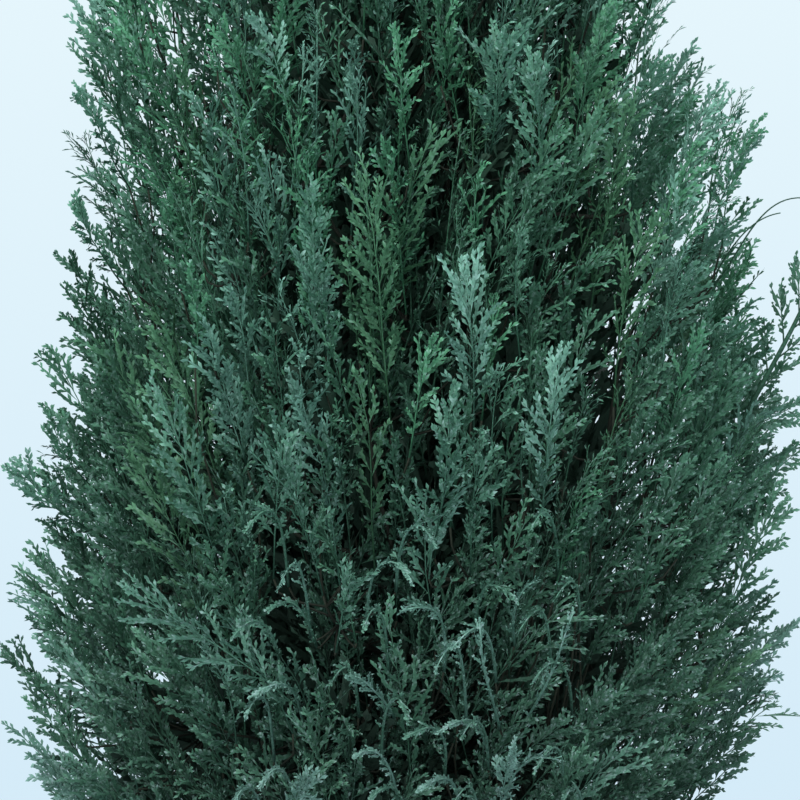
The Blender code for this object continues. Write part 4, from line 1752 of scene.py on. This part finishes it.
    def arches(self) -> tuple[Plume, ...]:
        """Small arched shoots low in the middle, which rise and nod to one side.

        Their feet are spread over a field by an additive sequence. Their rise and reach are
        a least length and a chanced one, and bend and tip stand at shares of them.

        Returns:
            The shoots as they are seen.
        """
        number = np.arange(self.arch_count)
        chance = self.crown.chance
        low, high = np.array(self.arch_field)
        feet = low + (high - low) * ((self.arch_start + number[:, None] * np.array(self.arch_step)) % 1)
        way = np.where(chance(number, Salt.ARCH_WAY) < self.arch_rightwards, 1, -1)
        least, more = self.arch_rise
        rise = least + more * chance(number, Salt.ARCH_RISE)
        least, more = self.arch_reach
        reach = way * (least + more * chance(number, Salt.ARCH_REACH))
        span = np.column_stack((reach, rise))
        lots = chance(number, Salt.ARCH_GREEN)
        rows = zip(feet, feet + span * self.arch_bend, feet + span * self.arch_tip, lots)
        return tuple(
            Plume(
                tuple(foot), tuple(bent), tuple(tip), self.arch_width,
                Green.BLOOM if lot < self.arch_bloomed else Green.TEAL, self.arch_turn
            )
            for foot, bent, tip, lot in rows
        )

    def strays(self) -> list[Stray]:
        """The long shoot that stands out on the right, and two bare arcs above it.

        Returns:
            The three shoots.
        """
        long = ((0.137, 0.300), (0.1700, 0.369), (0.1857, 0.3983), (0.199, 0.428), (0.207, 0.458))
        high = ((0.146, 0.412), (0.160, 0.433), (0.169, 0.444), (0.178, 0.4505), (0.189, 0.4505))
        low = ((0.148, 0.418), (0.158, 0.433), (0.167, 0.441), (0.1765, 0.4445))
        return [
            Stray(self.crown, 9000, math.radians(-16), long, 0.0016, 0.0006, fronds=17),
            Stray(self.crown, 9100, math.radians(-10), high, 0.0005, 0.0003),
            Stray(self.crown, 9200, math.radians(-12), low, 0.0004, 0.0003),
        ]

    def greens(self, shoots: Shoots) -> Array:
        """Deals the finishes out by frond.

        Fronds in the hollows get darker finishes as painted shade, and those on the crests paler, bloomed
        ones as painted light; a few clumps are fresh yellow-green. The crown is lush green above, and gets
        paler finishes above and darker ones below and low on the right, with listed spots of painted shade
        and painted light on its front.

        Args:
            shoots: The outer fronds.

        Returns:
            The number of each one's finish in Green.
        """
        x, y, z = shoots.tip.T
        chance = self.crown.chance
        bells = [
            deeper * np.exp(-(((x - across) / wide) ** 2) - ((z - rise) / tall) ** 2)
            for across, rise, wide, tall, deeper in self.shades
        ]
        # Painted shade lower down and painted light higher up, and the spots' painted shade and light on the
        # front.
        place = np.clip(self.darker_down * (self.even_height - z), *self.by_height)
        place = place + np.sum(bells, axis=0) * (y < 0)
        # Painted shade in the hollows and painted light on the crests.
        hollow = self.darker_inwards * (shoots.depth / self.relief - self.even_depth)
        lot = chance(shoots.index, Salt.GREEN) + np.clip(hollow, *self.by_depth) + place
        chosen = np.full(len(lot), Green.DEEP.number)
        for below, green in self.limits:
            chosen[lot < below] = green.number
        from_height, over = self.lush_height
        lush = chance(shoots.index, Salt.LUSH) < self.lush_share * np.clip((z - from_height) / over, 0, 1)
        chosen[lush & (chosen == Green.TEAL.number)] = Green.LUSH.number
        azimuth = np.arctan2(y, x)
        clump = np.sin(3 * azimuth + 1.1) + np.sin(19 * z + 5 * azimuth)
        chosen[(clump > self.fresh_clump) & (lot > self.fresh_lot) & (azimuth > 0)] = Green.FRESH.number
        renewed = chance(shoots.index, Salt.FRESH) > 1 - self.fresh_share
        for turn, rise, width, height in self.fresh_places:
            near = ((azimuth - math.radians(turn)) / math.radians(width)) ** 2 + ((z - rise) / height) ** 2
            chosen[(near < 1) & renewed] = Green.FRESH.number
        return chosen

    def inner(self) -> Shoots:
        """The old fronds inside, with their tips well short of the outline.

        They lie deeper at both sides, in the hollows and where gaps are open.

        Returns:
            The shoots.
        """
        index = np.arange(self.inner_count) + self.inner_number
        height, azimuth = self.crown.sites(self.inner_count)
        azimuth = azimuth + self.inner_turn
        size = self.planter.fitting(np.full(self.inner_count, self.inner_size), height)
        least, aside, spread = self.inner_depths
        depth = least + aside * np.cos(azimuth) ** 2 + spread * self.crown.chance(index, Salt.DEPTH)
        depth = depth + np.maximum(self.planter.flank(height, azimuth), 0)
        depth = depth + self.inner_relief * self.relief * self.planter.hollow(height, azimuth)
        depth = depth + self.inner_relief * self.planter.opened(height, azimuth, size)
        made = self.planter.shoots(index, height, azimuth, size, np.minimum(depth, self.inner_deepest))
        made.half_width = made.half_width * self.inner_width
        return made.chosen(height < self.inner_top)

    def dress(self) -> None:
        """Grows and joins the fronds, each finish apart, and the twigs that carry them."""
        crown, planter = self.crown, self.planter
        outer = planter.outer(self.outer_count, self.relief)
        leader = planter.leader(self.leader_count, self.leader_number)
        plumes = planter.in_front(self.plumes, self.plume_number, self.plume_bend)
        arched = self.curls + self.arches()
        curls = planter.in_front(arched, self.curl_number, 0.0)
        strays = self.strays()
        sprigs = Shoots.joined([stray.shoots() for stray in strays])
        inner = self.inner()
        full = Frond(crown, 24, 11)
        small = Frond(crown, 17, 9, rachis_points=5)
        sparse = Frond(crown, 11, 5, short_share=0.3, roll=0.3)
        curled = Frond(
            crown, 30, 5, 0.04, base_angle=0.6, tooth_length=0.0030, tooth_width=0.0012, axis_width=0.0013,
            rachis_radius=0.0007, rachis_points=14, rachis_sides=4, rachis_shade=(0.1, 0.6)
        )
        coarse = Frond(
            crown, 15, 4, 0.1, tooth_length=0.0060, tooth_width=0.0034, axis_width=0.0036, rachis_points=4
        )
        greens, large = self.greens(outer), outer.index < planter.modelled
        batches = (
            (full, outer.chosen(large), greens[large]),
            (small, outer.chosen(~large), greens[~large]),
            (small, leader, np.full(len(leader.index), Green.MIDDLE.number)),
            (full, plumes, np.array([plume.green.number for plume in self.plumes])),
            (curled, curls, np.array([plume.green.number for plume in arched])),
            (sparse, sprigs, np.full(len(sprigs.index), Green.DEEP.number)),
            # The inner fronds' dark finish is partly painted shade.
            (coarse, inner, np.full(len(inner.index), Green.INNER.number)),
        )
        stands_for = [f"foliage_{name}" for name in self.limbs.names]
        for green in Green:
            parts = [
                frond.grown(shoots.chosen(dealt == green.number))
                for frond, shoots, dealt in batches
                if (dealt == green.number).any()
            ]
            parts += [stray.twig() for stray in strays if green is Green.DEEP]
            finish = green.value.material()
            for turn, surface in enumerate(Surface.joined(parts).parted(PIECE_LIMIT)):
                surface.piece(f"{green.value.name}_{turn + 1}", finish, stands_for)
        twigs = Twigs(self.limbs)
        roots = [stray.root() for stray in strays]
        carried = twigs.carried(Shoots.joined([outer, leader, plumes, curls, *roots, inner]))
        wood = BarkFinish("twig_bark", (0.010, 0.011, 0.008), (0.032, 0.038, 0.025)).material()
        Surface.joined([twigs.stems(), carried]).piece("twigs", wood, stands_for)


@dataclass(frozen=True)
class Studio:
    """A plain pale floor, soft light and the camera."""

    floor_radius: float = 1.25
    floor_sides: int = 96
    floor_drop: float = 0.0002
    floor_colours: tuple[Colour, Colour] = ((0.40, 0.452, 0.48), (0.425, 0.476, 0.505))
    floor_grain: Noise = Noise(30, 3)
    low_sky: Colour = (0.665, 0.835, 0.945)
    high_sky: Colour = (0.800, 0.930, 0.982)
    sky_change: Pair = (5.0, 0.68)
    lights: tuple[tuple[str, Triple, float, float], ...] = (
        ("key_light", (-0.55, -1.35, 2.0), 1.0, 34),
        ("fill_light", (-0.6, -2.6, 0.9), 1.8, 27),
        ("back_light", (0.3, 1.9, 1.8), 1.6, 26),
    )
    light_colour: Colour = (0.93, 0.98, 1.0)
    lit_height: float = 0.42
    aim: Triple = (0.0054, 0.0, 0.360)
    distance: float = 2.0
    elevation: float = math.radians(3)
    frame_width: float = 0.360

    def world(self) -> None:
        """A sky that is paler upwards, for the backdrop and for soft light all round."""
        world = bpy.data.worlds.new("pale_sky")
        bpy.context.scene.world = world
        world.use_nodes = True
        nodes = Nodes(world.node_tree)
        where = nodes.add("ShaderNodeTexCoord", {}, {}, "Generated")
        gain, level = self.sky_change
        factor = (nodes.value("ShaderNodeSeparateXYZ", {}, {0: where}, "Z") * gain + level).clamped()
        colour = nodes.mixed(factor, opaque(self.low_sky), opaque(self.high_sky))
        sky = nodes.add("ShaderNodeBackground", {}, {"Color": colour, "Strength": 1.0})
        nodes.add("ShaderNodeOutputWorld", {}, {"Surface": sky})

    def floor(self) -> None:
        """A round pale floor: a rim of corners at one radius, closed by a fan round the middle."""
        sides = self.floor_sides
        turn = np.linspace(0, 2 * math.pi, sides, endpoint=False)
        rim = np.column_stack((np.cos(turn), np.sin(turn), np.zeros(sides))) * self.floor_radius
        points = np.vstack((np.zeros(3), rim)) - np.array((0, 0, self.floor_drop))
        step = np.arange(sides)
        faces = np.column_stack((np.zeros(sides, int), step + 1, (step + 1) % sides + 1))
        mesh = bpy.data.meshes.new("floor")
        mesh.from_pydata(points.tolist(), [], faces.tolist())
        made, nodes = new_material("floor_paper")
        first, second = self.floor_colours
        colour = nodes.mixed(nodes.noise(nodes.where(), self.floor_grain), opaque(first), opaque(second))
        nodes.surface({"Base Color": colour, "Roughness": 0.9})
        mesh.materials.append(made)
        floor = linked("floor", mesh)

    def light(self, name: str, place: Triple, width: float, watts: float) -> None:
        """Adds a square soft light that faces the crown.

        Args:
            name: Its name.
            place: Where it stands.
            width: Its width.
            watts: Its power.
        """
        data = bpy.data.lights.new(name, "AREA")
        data.size = width
        data.energy = watts
        data.color = self.light_colour
        made = linked(name, data)
        made.location = place
        heading = np.array((0.0, 0.0, self.lit_height)) - np.array(place)
        flat = math.hypot(heading[0], heading[1])
        made.rotation_euler = (math.atan2(flat, -heading[2]), 0.0, math.atan2(-heading[0], heading[1]))

    def camera(self) -> None:
        """The camera at the photograph's height, with a long lens."""
        data = bpy.data.cameras.new("camera")
        data.lens = data.sensor_width / 2 / (self.frame_width / 2 / self.distance)
        data.clip_start, data.clip_end = 0.05, 60
        made = linked("camera", data)
        back = np.array((0.0, -math.cos(self.elevation), math.sin(self.elevation)))
        made.location = np.array(self.aim) + self.distance * back
        made.rotation_euler = (math.pi / 2 - self.elevation, 0.0, 0.0)
        bpy.context.scene.camera = made

    def set_up(self) -> None:
        """Everything round the tree."""
        self.world()
        self.floor()
        for name, place, width, watts in self.lights:
            self.light(name, place, width, watts)
        self.camera()
        view = bpy.context.scene.view_settings
        view.view_transform = "Standard"
        view.look = "None"


def main() -> None:
    """Builds the tree and the studio."""
    logging.basicConfig(level=logging.INFO, format="%(message)s")
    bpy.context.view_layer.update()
    crown = Crown()
    limbs = Limbs(crown)
    bark = BarkFinish("trunk_bark", (0.040, 0.020, 0.012), (0.170, 0.125, 0.090)).material()
    Bark(limbs).dress(bark)
    Foliage(crown, limbs, Planter(crown)).dress()
    Studio().set_up()


if __name__ == "__main__":
    main()
